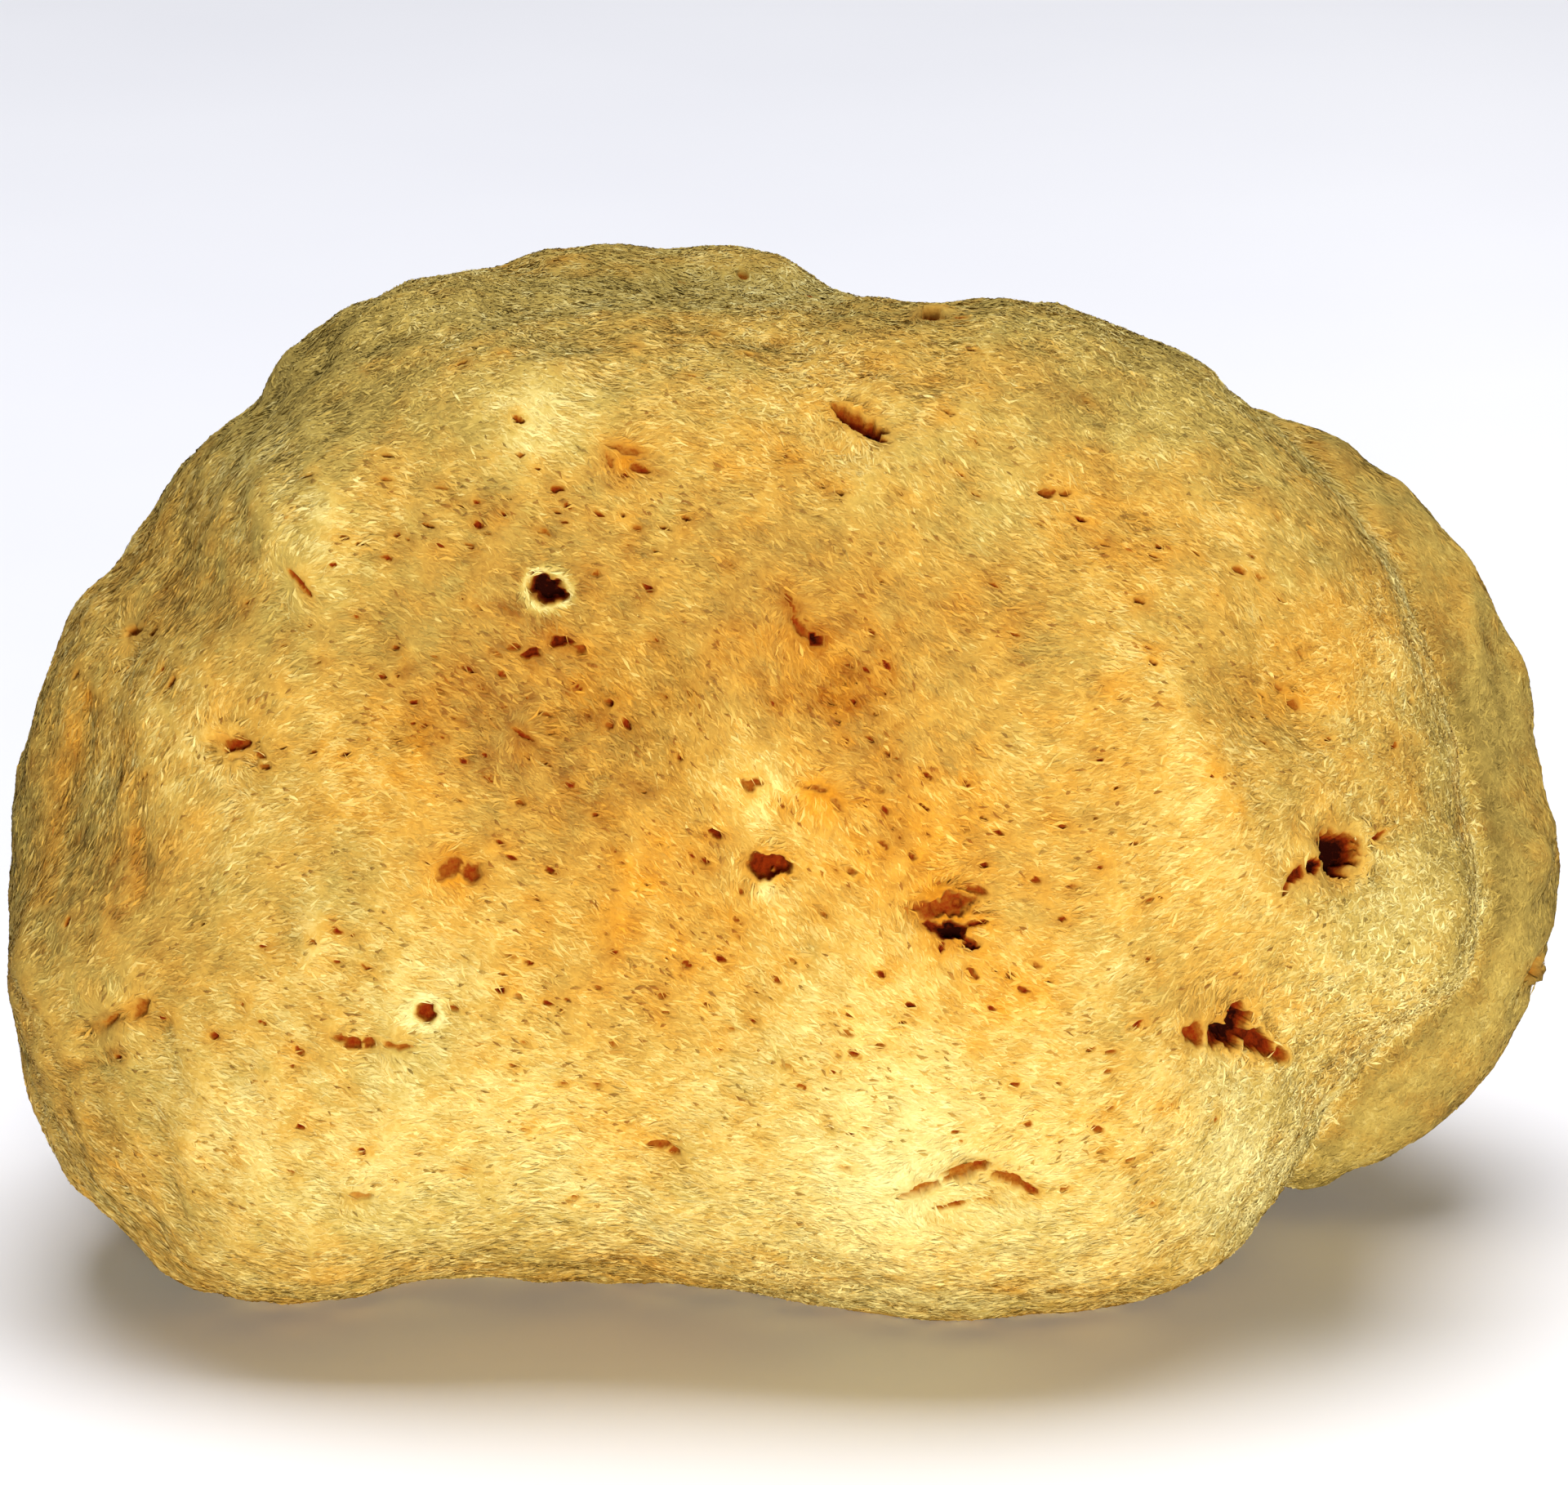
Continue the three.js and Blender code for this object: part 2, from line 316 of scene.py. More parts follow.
@dataclass
class Burrow:
    """A hole set in the skin.

    Attributes:
        place: Its middle on the skin.
        along: The way of its length, in the skin.
        side: The way of its width, in the skin.
        inwards: The way it goes in.
        hole: Its sizes.
        ragged: Sets how its edge strays.
    """

    place: Array
    along: Array
    side: Array
    inwards: Array
    hole: Hole
    ragged: float

    @property
    def length(self) -> float:
        """Half its length."""
        return self.hole.half[0]

    def spread(self, points: Array) -> tuple[Array, Array]:
        """Gives where points lie along and across the hole, 1 being its edge."""
        away = points - self.place
        return away @ self.along / self.hole.half[0], away @ self.side / self.hole.half[1]

    def beyond(self, points: Array) -> Array:
        """Measures how far points lie past the hole's edge, less than 0 inside it."""
        out = np.maximum(np.hypot(*self.spread(points)), 0.05)
        return np.linalg.norm(points - self.place, axis=1) * (1 - 1 / out)

    def shape(self, points: Array) -> tuple[Array, Array, Array]:
        """Works out how the hole moves and stains points of the skin.

        Args:
            points: Places in millimetres, one a row.

        Returns:
            How far each point goes in, how far the rim raises it, and how dark it is. A point comes out where
            the solid's own opening is wider, and goes in by less than any number where the hole has no say.
        """
        x, y = self.spread(points)
        turn = np.arctan2(y, x)
        stray = 1 + RAGGED_HEIGHT * RAGGED.at(points)
        for lobes, height, shift, lag in EDGE_LOBES:
            stray = stray + height * np.sin(lobes * turn + shift * self.ragged + lag)
        out = np.hypot(x, y) / stray
        inside = 1.0 - smooth_step(*SLOPE, out)
        lip = np.exp(-((out - 1.3) / 0.22) ** 2)
        sunk = np.maximum((points - self.place) @ self.inwards, 0.0)
        filled = -sunk * smooth_step(0.3, 0.8, sunk) * (1.0 - smooth_step(0.0, 0.5, inside))
        depth = np.where(out < SAY, np.maximum(inside * self.hole.depth - sunk, filled), -np.inf)
        return depth, lip * self.hole.rim, inside * self.hole.dark


@dataclass
class Warren:
    """All openings of the skin.

    Attributes:
        burrows: The openings.
        reach: How far past an opening's edge its stain is looked for.
    """

    burrows: list[Burrow] = field(default_factory=list)
    reach: float = 2.0

    def near(self, points: Array) -> tuple[Array, Array, Array]:
        """Finds the opening whose edge is nearest to each point.

        Args:
            points: Places in millimetres, one a row.

        Returns:
            Millimetres past its edge, less than 0 inside it, the height of its rim and how dark it is.
        """
        tree = point_tree(points)
        past = np.full(len(points), self.reach)
        rim, dark = np.zeros(len(points)), np.zeros(len(points))
        for burrow in self.burrows:
            found = within(tree, burrow.place, burrow.length + self.reach)
            beyond = burrow.beyond(points[found])
            closer = beyond < past[found]
            past[found[closer]] = beyond[closer]
            rim[found[closer]] = burrow.hole.rim
            dark[found[closer]] = burrow.hole.dark
        return past, rim, dark


# The openings of the face, each ragged one made of several that run into each other
FACE_HOLES = [
    Hole(-21.3, 17.1, (1.55, 1.2), -10, 3.2, 1.0, 0.3),
    Hole(6.5, 32.6, (2.6, 1.05), -39, 2.0, 0.62), Hole(7.6, 31.7, (1.2, 0.8), -40, 2.5, 0.95),
    Hole(8.6, 30.9, (0.8, 0.3), -25, 1.2, 0.6),
    Hole(-14.0, 29.9, (2.0, 0.5), -18, 0.8, 0.3), Hole(-13.0, 28.3, (1.3, 0.4), -20, 0.9, 0.5),
    Hole(-14.3, 27.7, (0.5, 0.3), 60, 0.8, 0.55), Hole(-15.6, 29.0, (0.8, 0.4), -60, 0.8, 0.3),
    Hole(-1.5, -7.7, (1.9, 1.25), 0, 2.4, 0.66),
    Hole(14.5, -11.2, (2.6, 1.2), 5, 0.9, 0.5), Hole(15.1, -13.4, (1.5, 0.8), -15, 2.4, 1.0),
    Hole(16.7, -14.5, (1.0, 0.45), -35, 1.6, 0.85), Hole(13.6, -12.9, (0.9, 0.4), -25, 1.4, 0.8),
    Hole(17.2, -12.7, (1.0, 0.3), 10, 1.0, 0.6), Hole(14.3, -14.8, (0.7, 0.28), 65, 1.0, 0.8),
    Hole(17.3, -9.9, (1.1, 0.4), -15, 1.0, 0.5), Hole(17.0, -17.2, (0.9, 0.35), -58, 1.0, 0.5),
    Hole(50.0, -6.3, (2.6, 1.9), -40, 3.2, 1.0), Hole(48.0, -7.6, (1.2, 0.65), 30, 2.0, 0.95),
    Hole(46.4, -8.4, (1.2, 0.55), 40, 1.4, 0.8), Hole(45.3, -9.6, (0.8, 0.4), 60, 1.0, 0.45),
    Hole(53.4, -5.0, (1.2, 0.35), 28, 1.1, 0.6),
    Hole(40.6, -22.5, (1.8, 1.6), 0, 3.2, 1.0), Hole(40.9, -20.7, (0.9, 0.7), 0, 2.0, 0.65),
    Hole(39.2, -22.9, (1.5, 0.9), -5, 2.0, 0.75), Hole(37.1, -22.8, (1.3, 1.05), 0, 1.5, 0.55),
    Hole(43.0, -23.8, (2.2, 1.1), -30, 2.2, 0.75), Hole(44.8, -24.8, (0.9, 0.8), -40, 1.4, 0.55),
    Hole(12.4, -37.0, (2.2, 0.6), 22, 1.3, 0.28), Hole(15.9, -35.6, (2.1, 0.75), 20, 1.4, 0.32),
    Hole(17.6, -35.0, (1.0, 0.6), 60, 1.5, 0.5), Hole(20.3, -36.1, (2.1, 0.65), -25, 1.4, 0.42),
    Hole(22.1, -37.0, (0.7, 0.3), -20, 1.0, 0.65), Hole(15.0, -38.4, (1.5, 0.35), 12, 1.0, 0.55),
    Hole(17.9, -38.0, (0.8, 0.25), -15, 0.8, 0.4),
    Hole(-30.0, -7.8, (1.3, 0.85), 20, 1.0, 0.46), Hole(-28.1, -8.3, (1.15, 0.85), 80, 1.1, 0.52),
    Hole(-30.9, -8.8, (0.6, 0.3), 10, 0.7, 0.3),
    Hole(-48.9, 2.9, (2.2, 1.4), -20, 0.6, 0.12), Hole(-49.4, 3.3, (1.2, 0.7), 10, 1.4, 0.55),
    Hole(-47.4, 2.4, (0.7, 0.35), -30, 0.9, 0.5), Hole(-46.9, 1.3, (0.8, 0.3), -10, 0.8, 0.4),
    Hole(-38.7, -23.7, (1.0, 0.5), -10, 1.2, 0.55), Hole(-37.4, -23.6, (0.7, 0.5), 30, 1.1, 0.5),
    Hole(-39.9, -23.2, (0.6, 0.4), 0, 1.0, 0.45), Hole(-34.8, -23.9, (1.3, 0.35), 0, 0.9, 0.35),
    Hole(-22.7, 11.3, (0.9, 0.6), 15, 1.5, 0.8), Hole(-20.1, 12.4, (1.0, 0.6), -5, 1.5, 0.8),
    Hole(-18.3, 11.7, (0.7, 0.45), -15, 1.1, 0.5), Hole(-24.2, 11.9, (0.8, 0.4), 10, 1.0, 0.5),
    Hole(2.9, 12.6, (0.7, 0.65), 0, 1.5, 0.9), Hole(1.6, 13.6, (1.4, 0.5), -50, 1.1, 0.5),
    Hole(0.6, 16.0, (1.2, 0.28), -62, 0.8, 0.5),
    Hole(-2.9, -0.4, (1.0, 0.65), 0, 1.0, 0.38), Hole(2.9, -0.7, (1.5, 0.3), -15, 0.6, 0.3),
    Hole(4.8, -2.2, (1.2, 0.28), -60, 0.6, 0.3), Hole(-6.2, -4.8, (0.75, 0.4), -15, 1.1, 0.8),
    Hole(-7.2, -7.3, (0.5, 0.4), 0, 0.9, 0.6),
    Hole(23.8, 26.0, (0.8, 0.6), 10, 1.0, 0.42), Hole(25.3, 26.0, (0.6, 0.35), 10, 0.8, 0.35),
    Hole(46.1, 7.0, (0.7, 0.5), -30, 0.8, 0.32), Hole(44.7, 8.4, (0.8, 0.3), -30, 0.7, 0.3),
    Hole(41.0, 19.0, (0.9, 0.4), -10, 0.7, 0.35), Hole(43.0, 18.4, (0.6, 0.3), 0, 0.6, 0.25),
    Hole(-55.4, 8.8, (0.9, 0.4), 50, 0.9, 0.45), Hole(-58.2, -20.5, (1.2, 0.8), 40, 1.0, 0.32),
    Hole(-60.8, -21.6, (1.3, 0.4), 25, 0.8, 0.3), Hole(-60.0, -24.9, (0.7, 0.3), 10, 0.8, 0.5),
    Hole(-58.6, 13.5, (1.4, 0.5), -15, 0.9, 0.35), Hole(-56.7, 13.4, (0.8, 0.35), 0, 0.9, 0.5),
    Hole(-55.6, 17.6, (1.0, 0.35), 30, 0.9, 0.45),
    Hole(-11.3, -33.1, (1.1, 0.6), 0, 0.9, 0.42), Hole(-10.0, -33.5, (0.7, 0.4), 20, 0.8, 0.4),
    Hole(-3.7, 46.1, (0.7, 0.5), 0, 0.9, 0.35), Hole(-6.2, 40.3, (0.6, 0.35), 0, 0.8, 0.4),
    Hole(-32.2, -20.9, (1.0, 0.9), 0, 1.6, 0.62, 0.14), Hole(-38.1, -37.6, (1.3, 0.5), 15, 0.7, 0.2),
    Hole(28.2, -31.5, (0.8, 0.4), -30, 0.9, 0.45), Hole(-43.6, 17.8, (1.7, 0.3), -50, 0.8, 0.55),
    Hole(-23.4, 4.2, (1.3, 0.28), -35, 0.8, 0.55),
]


@dataclass(frozen=True)
class SideHole:
    """A large opening on another side.

    Attributes:
        compass: The way it looks, in degrees from the face to the right.
        height: How far that way points up.
        half: Half its length and half its width.
        turn: How far its length is turned from level.
        depth: How deep it goes.
    """

    compass: float
    height: float
    half: tuple[float, float]
    turn: float
    depth: float


# The openings that the part's source cuts in the other sides
SIDE_HOLES = [
    SideHole(178, 12, (2.6, 2.1), 10, 8), SideHole(187, 31, (1.6, 1.2), 60, 4),
    SideHole(150, 30, (1.9, 1.6), 0, 6), SideHole(163, -8, (1.7, 1.1), -20, 4),
    SideHole(203, -6, (2.3, 1.6), 50, 5), SideHole(212, 14, (1.4, 1.2), 0, 3.5),
    SideHole(222, 24, (1.8, 1.3), -30, 5), SideHole(238, -10, (1.9, 1.2), 25, 4),
    SideHole(128, 2, (2.2, 1.5), 70, 5), SideHole(112, 20, (1.5, 1.2), -45, 4),
    SideHole(103, -14, (1.8, 1.2), 15, 4), SideHole(255, 10, (1.7, 1.2), 20, 3.5),
    SideHole(275, 30, (1.6, 1.1), -10, 3.5), SideHole(170, 58, (2.2, 1.6), -15, 6),
    SideHole(250, 52, (1.7, 1.3), 40, 4.5), SideHole(120, 50, (1.9, 1.2), 0, 4.5),
    SideHole(45, 66, (1.6, 1.2), 35, 4),
]


@dataclass(frozen=True)
class PoreField:
    """A patch of fine pores on the face.

    Attributes:
        across: Its middle, to the right of the face's middle.
        up: Its middle, up the face.
        reach: How far it spreads across and up.
        count: How many pores it has.
        size: Half a pore's usual length.
    """

    across: float
    up: float
    reach: tuple[float, float]
    count: int
    size: float = 0.4


# Least and most of a fine pore: length, slimness, depth, darkness and how its edge strays
PORE_RANGE = ((0.5, 0.28, 0.5, 0.25, 0), (1.5, 0.75, 1.1, 0.75, 6.28))

PORE_FIELDS = [
    PoreField(-43, 22, (6, 4), 14), PoreField(-27, 24, (6, 4), 30, 0.45), PoreField(-13, 23, (5, 5), 14),
    PoreField(8, 24, (6, 5), 4), PoreField(26, 24, (6, 5), 8), PoreField(0, 38, (14, 4), 8),
    PoreField(-61, 7, (3, 5), 5), PoreField(-44, 7, (6, 4), 10), PoreField(-28, 7, (6, 3.5), 44, 0.45),
    PoreField(-20, 2, (4, 4), 16), PoreField(-10, 8, (6, 5), 6), PoreField(7, 8, (2.5, 4), 26),
    PoreField(44, 8, (6, 5), 14), PoreField(28, 8, (6, 5), 6), PoreField(36, 18, (6, 5), 10),
    PoreField(-60, -8, (4, 5), 6), PoreField(-27, -9, (6, 4), 8), PoreField(-6, -5, (5, 4), 14),
    PoreField(12, -4, (3.5, 4), 40, 0.45), PoreField(27, -8, (6, 5), 12), PoreField(-59, -23, (4, 5), 5),
    PoreField(-43, -20, (6, 4), 14), PoreField(-28, -20, (7, 4), 20), PoreField(-12, -17, (7, 4), 38),
    PoreField(9, -25, (8, 4), 22), PoreField(19, -17, (4, 4), 14, 0.45), PoreField(30, -22, (5, 5), 8),
    PoreField(-40, -32, (6, 4), 6), PoreField(-20, -31, (9, 4), 12), PoreField(27, -33, (6, 3), 12),
    PoreField(8, -31, (8, 3), 8), PoreField(40, -36, (4, 3), 4), PoreField(35, 34, (8, 4), 3),
]


class FlowKind(Enum):
    """How the fibres lie in a part of the nap."""

    COMBED = "combed"
    CURLY = "curly"


@dataclass(frozen=True)
class Comb:
    """A place on the face and the way its fibres lie.

    Attributes:
        across: To the right of the face's middle.
        up: Up the face from its middle.
        turn: The fibres' turn from level.
        reach: How far it holds.
        kind: How the fibres lie there.
    """

    across: float
    up: float
    turn: float
    reach: float = 14.0
    kind: FlowKind = FlowKind.COMBED


COMBS = [
    Comb(-50, -30, -18), Comb(-30, -32, -14), Comb(-8, -38, -6), Comb(14, -42, 6),
    Comb(-55, -5, 70), Comb(-45, 12, 30), Comb(-40, -12, -12), Comb(-20, -14, -18),
    Comb(-30, 6, -35), Comb(-32, 28, -30), Comb(-18, 24, -28), Comb(-10, 36, -10),
    Comb(6, 8, -58), Comb(12, -4, -60), Comb(0, -16, -35), Comb(16, -24, -30),
    Comb(30, 4, 35), Comb(40, -6, 20), Comb(32, 20, -20), Comb(20, 34, -25),
    Comb(34, -28, 25), Comb(46, 14, -50), Comb(6, 24, -40),
    Comb(56, -12, 60, 9, FlowKind.CURLY), Comb(54, 8, 80, 9, FlowKind.CURLY),
    Comb(50, -24, 40, 9, FlowKind.CURLY), Comb(42, -36, 30, 9, FlowKind.CURLY),
    Comb(0, 42, 0, 10, FlowKind.CURLY), Comb(30, 38, -20, 9, FlowKind.CURLY),
    Comb(-30, 42, 20, 9, FlowKind.CURLY), Comb(0, -45, 0, 5, FlowKind.CURLY),
]


@dataclass(frozen=True)
class Fold:
    """A long fold or ridge of the skin.

    Attributes:
        course: Places along it on the face.
        depth: How deep it goes in, less than 0 for a ridge.
        width: How far it reaches to each side.
        tone: How much paler it is.
        warmth: How much more amber it is.
    """

    course: tuple[tuple[float, float], ...]
    depth: float
    width: float
    tone: float
    warmth: float

    def past(self, seen: Array) -> Array:
        """Measures how far past the fold places lie.

        Args:
            seen: Across and up on the face, one pair a row.

        Returns:
            Millimetres to its left as it runs, less than 0 to its right.
        """
        course = np.array(self.course, float)
        nearest, side = np.full(len(seen), 1e9), np.full(len(seen), -1.0)
        for start, end in zip(course[:-1], course[1:]):
            way = end - start
            share = np.clip((seen - start) @ way / (way @ way), 0, 1)
            away = seen - start - share[:, None] * way
            gap = np.linalg.norm(away, axis=1)
            closer = gap < nearest
            nearest[closer] = gap[closer]
            side[closer] = np.where(away[closer] @ np.array([-way[1], way[0]]) > 0, 1.0, -1.0)
        return nearest * side

    def hold(self, seen: Array) -> Array:
        """Gives how much of the fold each place takes: 1 on its course, 0 far from it."""
        return np.exp(-(self.past(seen) / self.width) ** 2)


FOLDS = [
    Fold(((61.9, 15.7), (62.4, 10.6), (61.8, 3.7), (64.3, -1.0)), -0.35, 0.9, 0.10, -0.10),
    Fold(((-47.7, 33.7), (-40.9, 39.2), (-30.7, 42.2), (-19.7, 43.6), (-11.5, 44.3), (-2, 44.7), (4.2, 44.3)),
         0.7, 1.5, 0.02, -0.40),
    Fold(((-62.5, 7.2), (-64.5, 1.0), (-65.5, -5.9), (-66.6, -9.9)), 0.35, 1.1, 0.0, 0.25),
    Fold(((-59.0, 3.7), (-58.4, -1.8), (-58.0, -7.2), (-57.6, -9.9), (-59.7, -12.3)), 0.4, 0.7, -0.08, 0.15),
    Fold(((-62.6, -22.6), (-58.4, -20.5), (-56.0, -22.0)), 0.5, 0.9, -0.10, 0.20),
    Fold(((-64.1, -25.6), (-59.7, -24.6)), 0.4, 0.6, -0.14, 0.20),
]


@dataclass(frozen=True)
class Flank:
    """The smooth, dull right side, and the crease where the front mass ends at it. The side is painted darker
    as shade besides its duller colour, and a painted shadow lies along the crease.

    Attributes:
        crease: That fold, from the top down.
        hind_edge: How far back the side reaches.
        lip: What the pale lip of the front mass adds to tone and warmth.
        side: What the side adds to them: painted shade and a duller, more olive colour.
    """

    # The crease's tone is a painted shadow beside it, strongest low down.
    crease: Fold = Fold((
        (40, 36), (46, 30.8), (51, 26), (55.3, 19.5), (57.8, 12.5), (60.6, 4), (62.2, -3), (63.3, -11),
        (61.8, -18), (57, -21.8), (52.3, -25.5), (47.3, -33), (42.8, -39.5),
    ), 0.95, 1.0, -0.24, 0.0)
    hind_edge: float = 25.0
    lip: tuple[float, float] = (0.14, -0.12)
    side: tuple[float, float] = (-0.15, -0.18)

    def share(self, points: Array, past: Array) -> Array:
        """Gives how much each place belongs to the side.

        Args:
            points: Places in millimetres, one a row.
            past: How far past the crease each lies.

        Returns:
            1 on the side, 0 elsewhere.
        """
        return smooth_step(0.0, 1.5, past) * (points[:, 1] < self.hind_edge)


@dataclass
class Flow:
    """The way the fibres lie, all over the sponge.

    Attributes:
        sight: The eye that the combs are seen from.
        combs: The places where the way is given.
        swirl: Turns the way on the other sides.
        warren: Openings, which fibres lie away from.
        eddy_size: Half the length from which an opening turns the fibres.
    """

    sight: Sight
    warren: Warren
    combs: list[Comb] = field(default_factory=lambda: COMBS)
    swirl: Ripples = Ripples(42.0, 5)
    eddy_size: float = 1.15

    def at(self, points: Array, normals: Array) -> tuple[Array, Array]:
        """Reads the flow.

        Args:
            points: Places on the skin in millimetres, one a row.
            normals: The skin's normals there.

        Returns:
            The unit way along the skin at each place, and how curly the nap is there from 0 to 1.
        """
        seen = self.sight.on_face(points)
        facing = smooth_step(-0.1, 0.35, -(normals @ self.sight.back))
        turn = 1.8 * self.swirl.at(points)
        ways = np.cos(turn)[:, None] * np.array([1.0, 0, 0]) + np.sin(turn)[:, None] * self.sight.up
        ways = ways * (0.15 + 0.85 * (1 - facing))[:, None]
        curly, weight_sum = 0.35 * (1 - facing), np.full(len(points), 0.15)
        for comb in self.combs:
            gap = np.hypot(seen[:, 0] - comb.across, seen[:, 1] - comb.up) / comb.reach
            weight = np.exp(-gap * gap) * facing
            lie = np.array([cos(radians(comb.turn)), 0, 0]) + sin(radians(comb.turn)) * self.sight.up
            ways = ways + weight[:, None] * lie
            weight_sum = weight_sum + weight
            if comb.kind is FlowKind.CURLY:
                curly = curly + weight / weight_sum
        for burrow in self.warren.burrows:
            if burrow.length > self.eddy_size:
                away = points - burrow.place
                gap = np.linalg.norm(away, axis=1) / (1.9 * burrow.length)
                ways = ways + (2.0 * np.exp(-gap * gap))[:, None] * unit(away)
        ways = ways - (ways * normals).sum(axis=1)[:, None] * normals
        return unit(ways), np.clip(curly, 0.0, 1.0)


@dataclass(frozen=True)
class TonePatch:
    """A patch of the face that is paler, darker, dustier or more amber than the rest. Most are stains of its
    own; some are painted shade or painted highlights.

    Attributes:
        across: To the right of the face's middle.
        up: Up the face from its middle.
        reach: How far it spreads.
        tone: How much paler it is.
        warmth: How much more amber it is.
    """

    across: float
    up: float
    reach: float
    tone: float
    warmth: float


# Patches of tone and warmth: most are the sponge's own stains, and some are painted shade or painted
# highlights, as marked line by line.
STAINS_AND_PAINTED_LIGHT = [
    # Painted shade, partly an orange-brown stain: the first two darken the hollow below the upper-left
    # opening.
    TonePatch(-26, 11, 11, -0.17, 0.02), TonePatch(-22, 3, 7, -0.14, 0.10), TonePatch(-34, 1.0, 5, -0.02, 0.26),
    TonePatch(5, 9, 7, -0.12, 0.18), TonePatch(12, -8, 8, -0.03, 0.30), TonePatch(-12, -16, 9, -0.04, 0.26),
    TonePatch(20, -19, 5, 0.00, 0.30), TonePatch(46, 9, 5, -0.04, 0.20), TonePatch(30, 24, 6, 0.00, 0.26),
    # Painted highlights: the first two pale the knobs at the upper left.
    TonePatch(-22, 32.5, 5, 0.26, -0.25), TonePatch(-41, 21, 5, 0.22, -0.10), TonePatch(-2, 0, 4, 0.20, -0.10),
    # Painted highlight: the second pales the lower wall of the opening just above it.
    TonePatch(3, -1.8, 2.4, -0.05, 0.4), TonePatch(-1.6, -9.7, 1.0, 0.4, -0.4), TonePatch(-14.1, 28.7, 2.2, -0.08, 0.5),
    TonePatch(-29.6, -8, 2.2, -0.06, 0.4), TonePatch(15, -11.3, 2.6, -0.10, 0.5), TonePatch(10, -38, 20, 0.25, -0.24),
    TonePatch(-36, -34, 17, 0.12, -0.24), TonePatch(54, -12, 9, 0.08, -0.30), TonePatch(44, -35, 9, 0.12, -0.35),
    # Painted shade, partly a duller colour: the first darkens the left edge.
    TonePatch(-66, 0, 9, -0.12, -0.08), TonePatch(-50, 14, 8, -0.10, -0.10), TonePatch(0, 38, 13, 0.16, 0.14),
    # Painted shade, partly a duller colour: the third darkens the lower left edge.
    TonePatch(52, 30, 11, -0.12, 0.0), TonePatch(0, 16, 30, -0.14, 0.16), TonePatch(-68, -12, 16, -0.16, -0.12),
    TonePatch(64, -8, 10, -0.06, -0.15), TonePatch(-45, 34, 9, -0.10, -0.25), TonePatch(36, 33, 10, -0.06, -0.20),
    # Painted light: the last one lifts the shade in the left fold's valley.
    TonePatch(62, 4, 6, -0.02, -0.20), TonePatch(-60.5, -1, 5, 0.10, 0.05),
]


# How tone and warmth stray all over, from broad patches to fine mottle
TONE_RIPPLES = ((0.06, Ripples(14.0, 31)), (0.06, Ripples(3.2, 32)), (0.05, Ripples(1.3, 35)))
WARMTH_RIPPLES = ((0.09, Ripples(11.0, 33)), (0.08, Ripples(2.4, 34)))


@dataclass
class Colouring:
    """How pale and how amber the sponge is, all over, with painted shade and painted highlights in places.

    Attributes:
        sight: The eye that the stains are seen from.
        warren: Openings, which stain the skin round them.
        flank: The dull side, whose crease has a pale lip.
        halo: How far past an opening's edge its stain reaches.
        plain: Tone and warmth of most of the skin.
        stained: What an opening's stain adds to them.
        rimmed: What the pale rim of an opening adds to them.
    """

    sight: Sight
    warren: Warren
    flank: Flank = Flank()
    halo: float = 0.9
    plain: tuple[float, float] = (0.53, 0.36)
    stained: tuple[float, float] = (-0.12, 0.22)
    rimmed: tuple[float, float] = (0.55, -0.60)

    def at(self, points: Array, normals: Array) -> tuple[Array, Array]:
        """Reads tone and warmth.

        Args:
            points: Places on the skin in millimetres, one a row.
            normals: The skin's normals there.

        Returns:
            Tone, from dark to pale, and warmth, from dusty to amber.
        """
        seen = self.sight.on_face(points)
        facing = smooth_step(-0.05, 0.4, -(normals @ self.sight.back))
        # Painted shade, partly the sponge's own duller colour: the top and the sides that turn away from the
        # eye are made darker and more olive.
        high = smooth_step(58.0, 88.0, points[:, 2])
        tone = self.plain[0] - 0.06 * high - 0.06 * (1 - facing)
        for height, ripples in TONE_RIPPLES:
            tone = tone + height * ripples.at(points)
        warmth = self.plain[1] - 0.22 * high - 0.12 * (1 - facing)
        for height, ripples in WARMTH_RIPPLES:
            warmth = warmth + height * ripples.at(points)
        # The sponge's own stains, and the painted shade and painted highlights, from the table above.
        for stain in STAINS_AND_PAINTED_LIGHT:
            gap = np.hypot(seen[:, 0] - stain.across, seen[:, 1] - stain.up) / stain.reach
            weight = np.exp(-gap * gap) * facing
            tone, warmth = tone + weight * stain.tone, warmth + weight * stain.warmth
        beyond, rim, dark = self.warren.near(points)
        ring = np.exp(-(np.maximum(beyond, 0) / self.halo) ** 2) * (0.3 + 0.7 * dark)
        pale = np.minimum(4 * rim, 1) * np.exp(-((beyond - 0.5) / 0.45) ** 2)
        tone = tone + self.stained[0] * ring * (1 - pale) + self.rimmed[0] * pale
        warmth = warmth + self.stained[1] * ring * (1 - pale) + self.rimmed[1] * pale
        front = smooth_step(-0.6, -0.1, -(normals @ self.sight.back)) * (points[:, 1] < self.flank.hind_edge)
        for fold in FOLDS:
            held = fold.hold(seen) * front
            tone, warmth = tone + held * fold.tone, warmth + held * fold.warmth
        crease = self.flank.crease
        past = crease.past(seen)
        lip = np.exp(-((past + 0.8) / 0.6) ** 2) * front
        # Painted shadow along the crease, strongest low down, and painted shade over the side behind it.
        shade = np.exp(-((past - 0.8) / 1.2) ** 2) * front * smooth_step(30.0, 4.0, seen[:, 1])
        side = self.flank.share(points, past) * front
        tone = tone + self.flank.lip[0] * lip + crease.tone * shade + self.flank.side[0] * side
        return tone, warmth + self.flank.lip[1] * lip + self.flank.side[1] * side


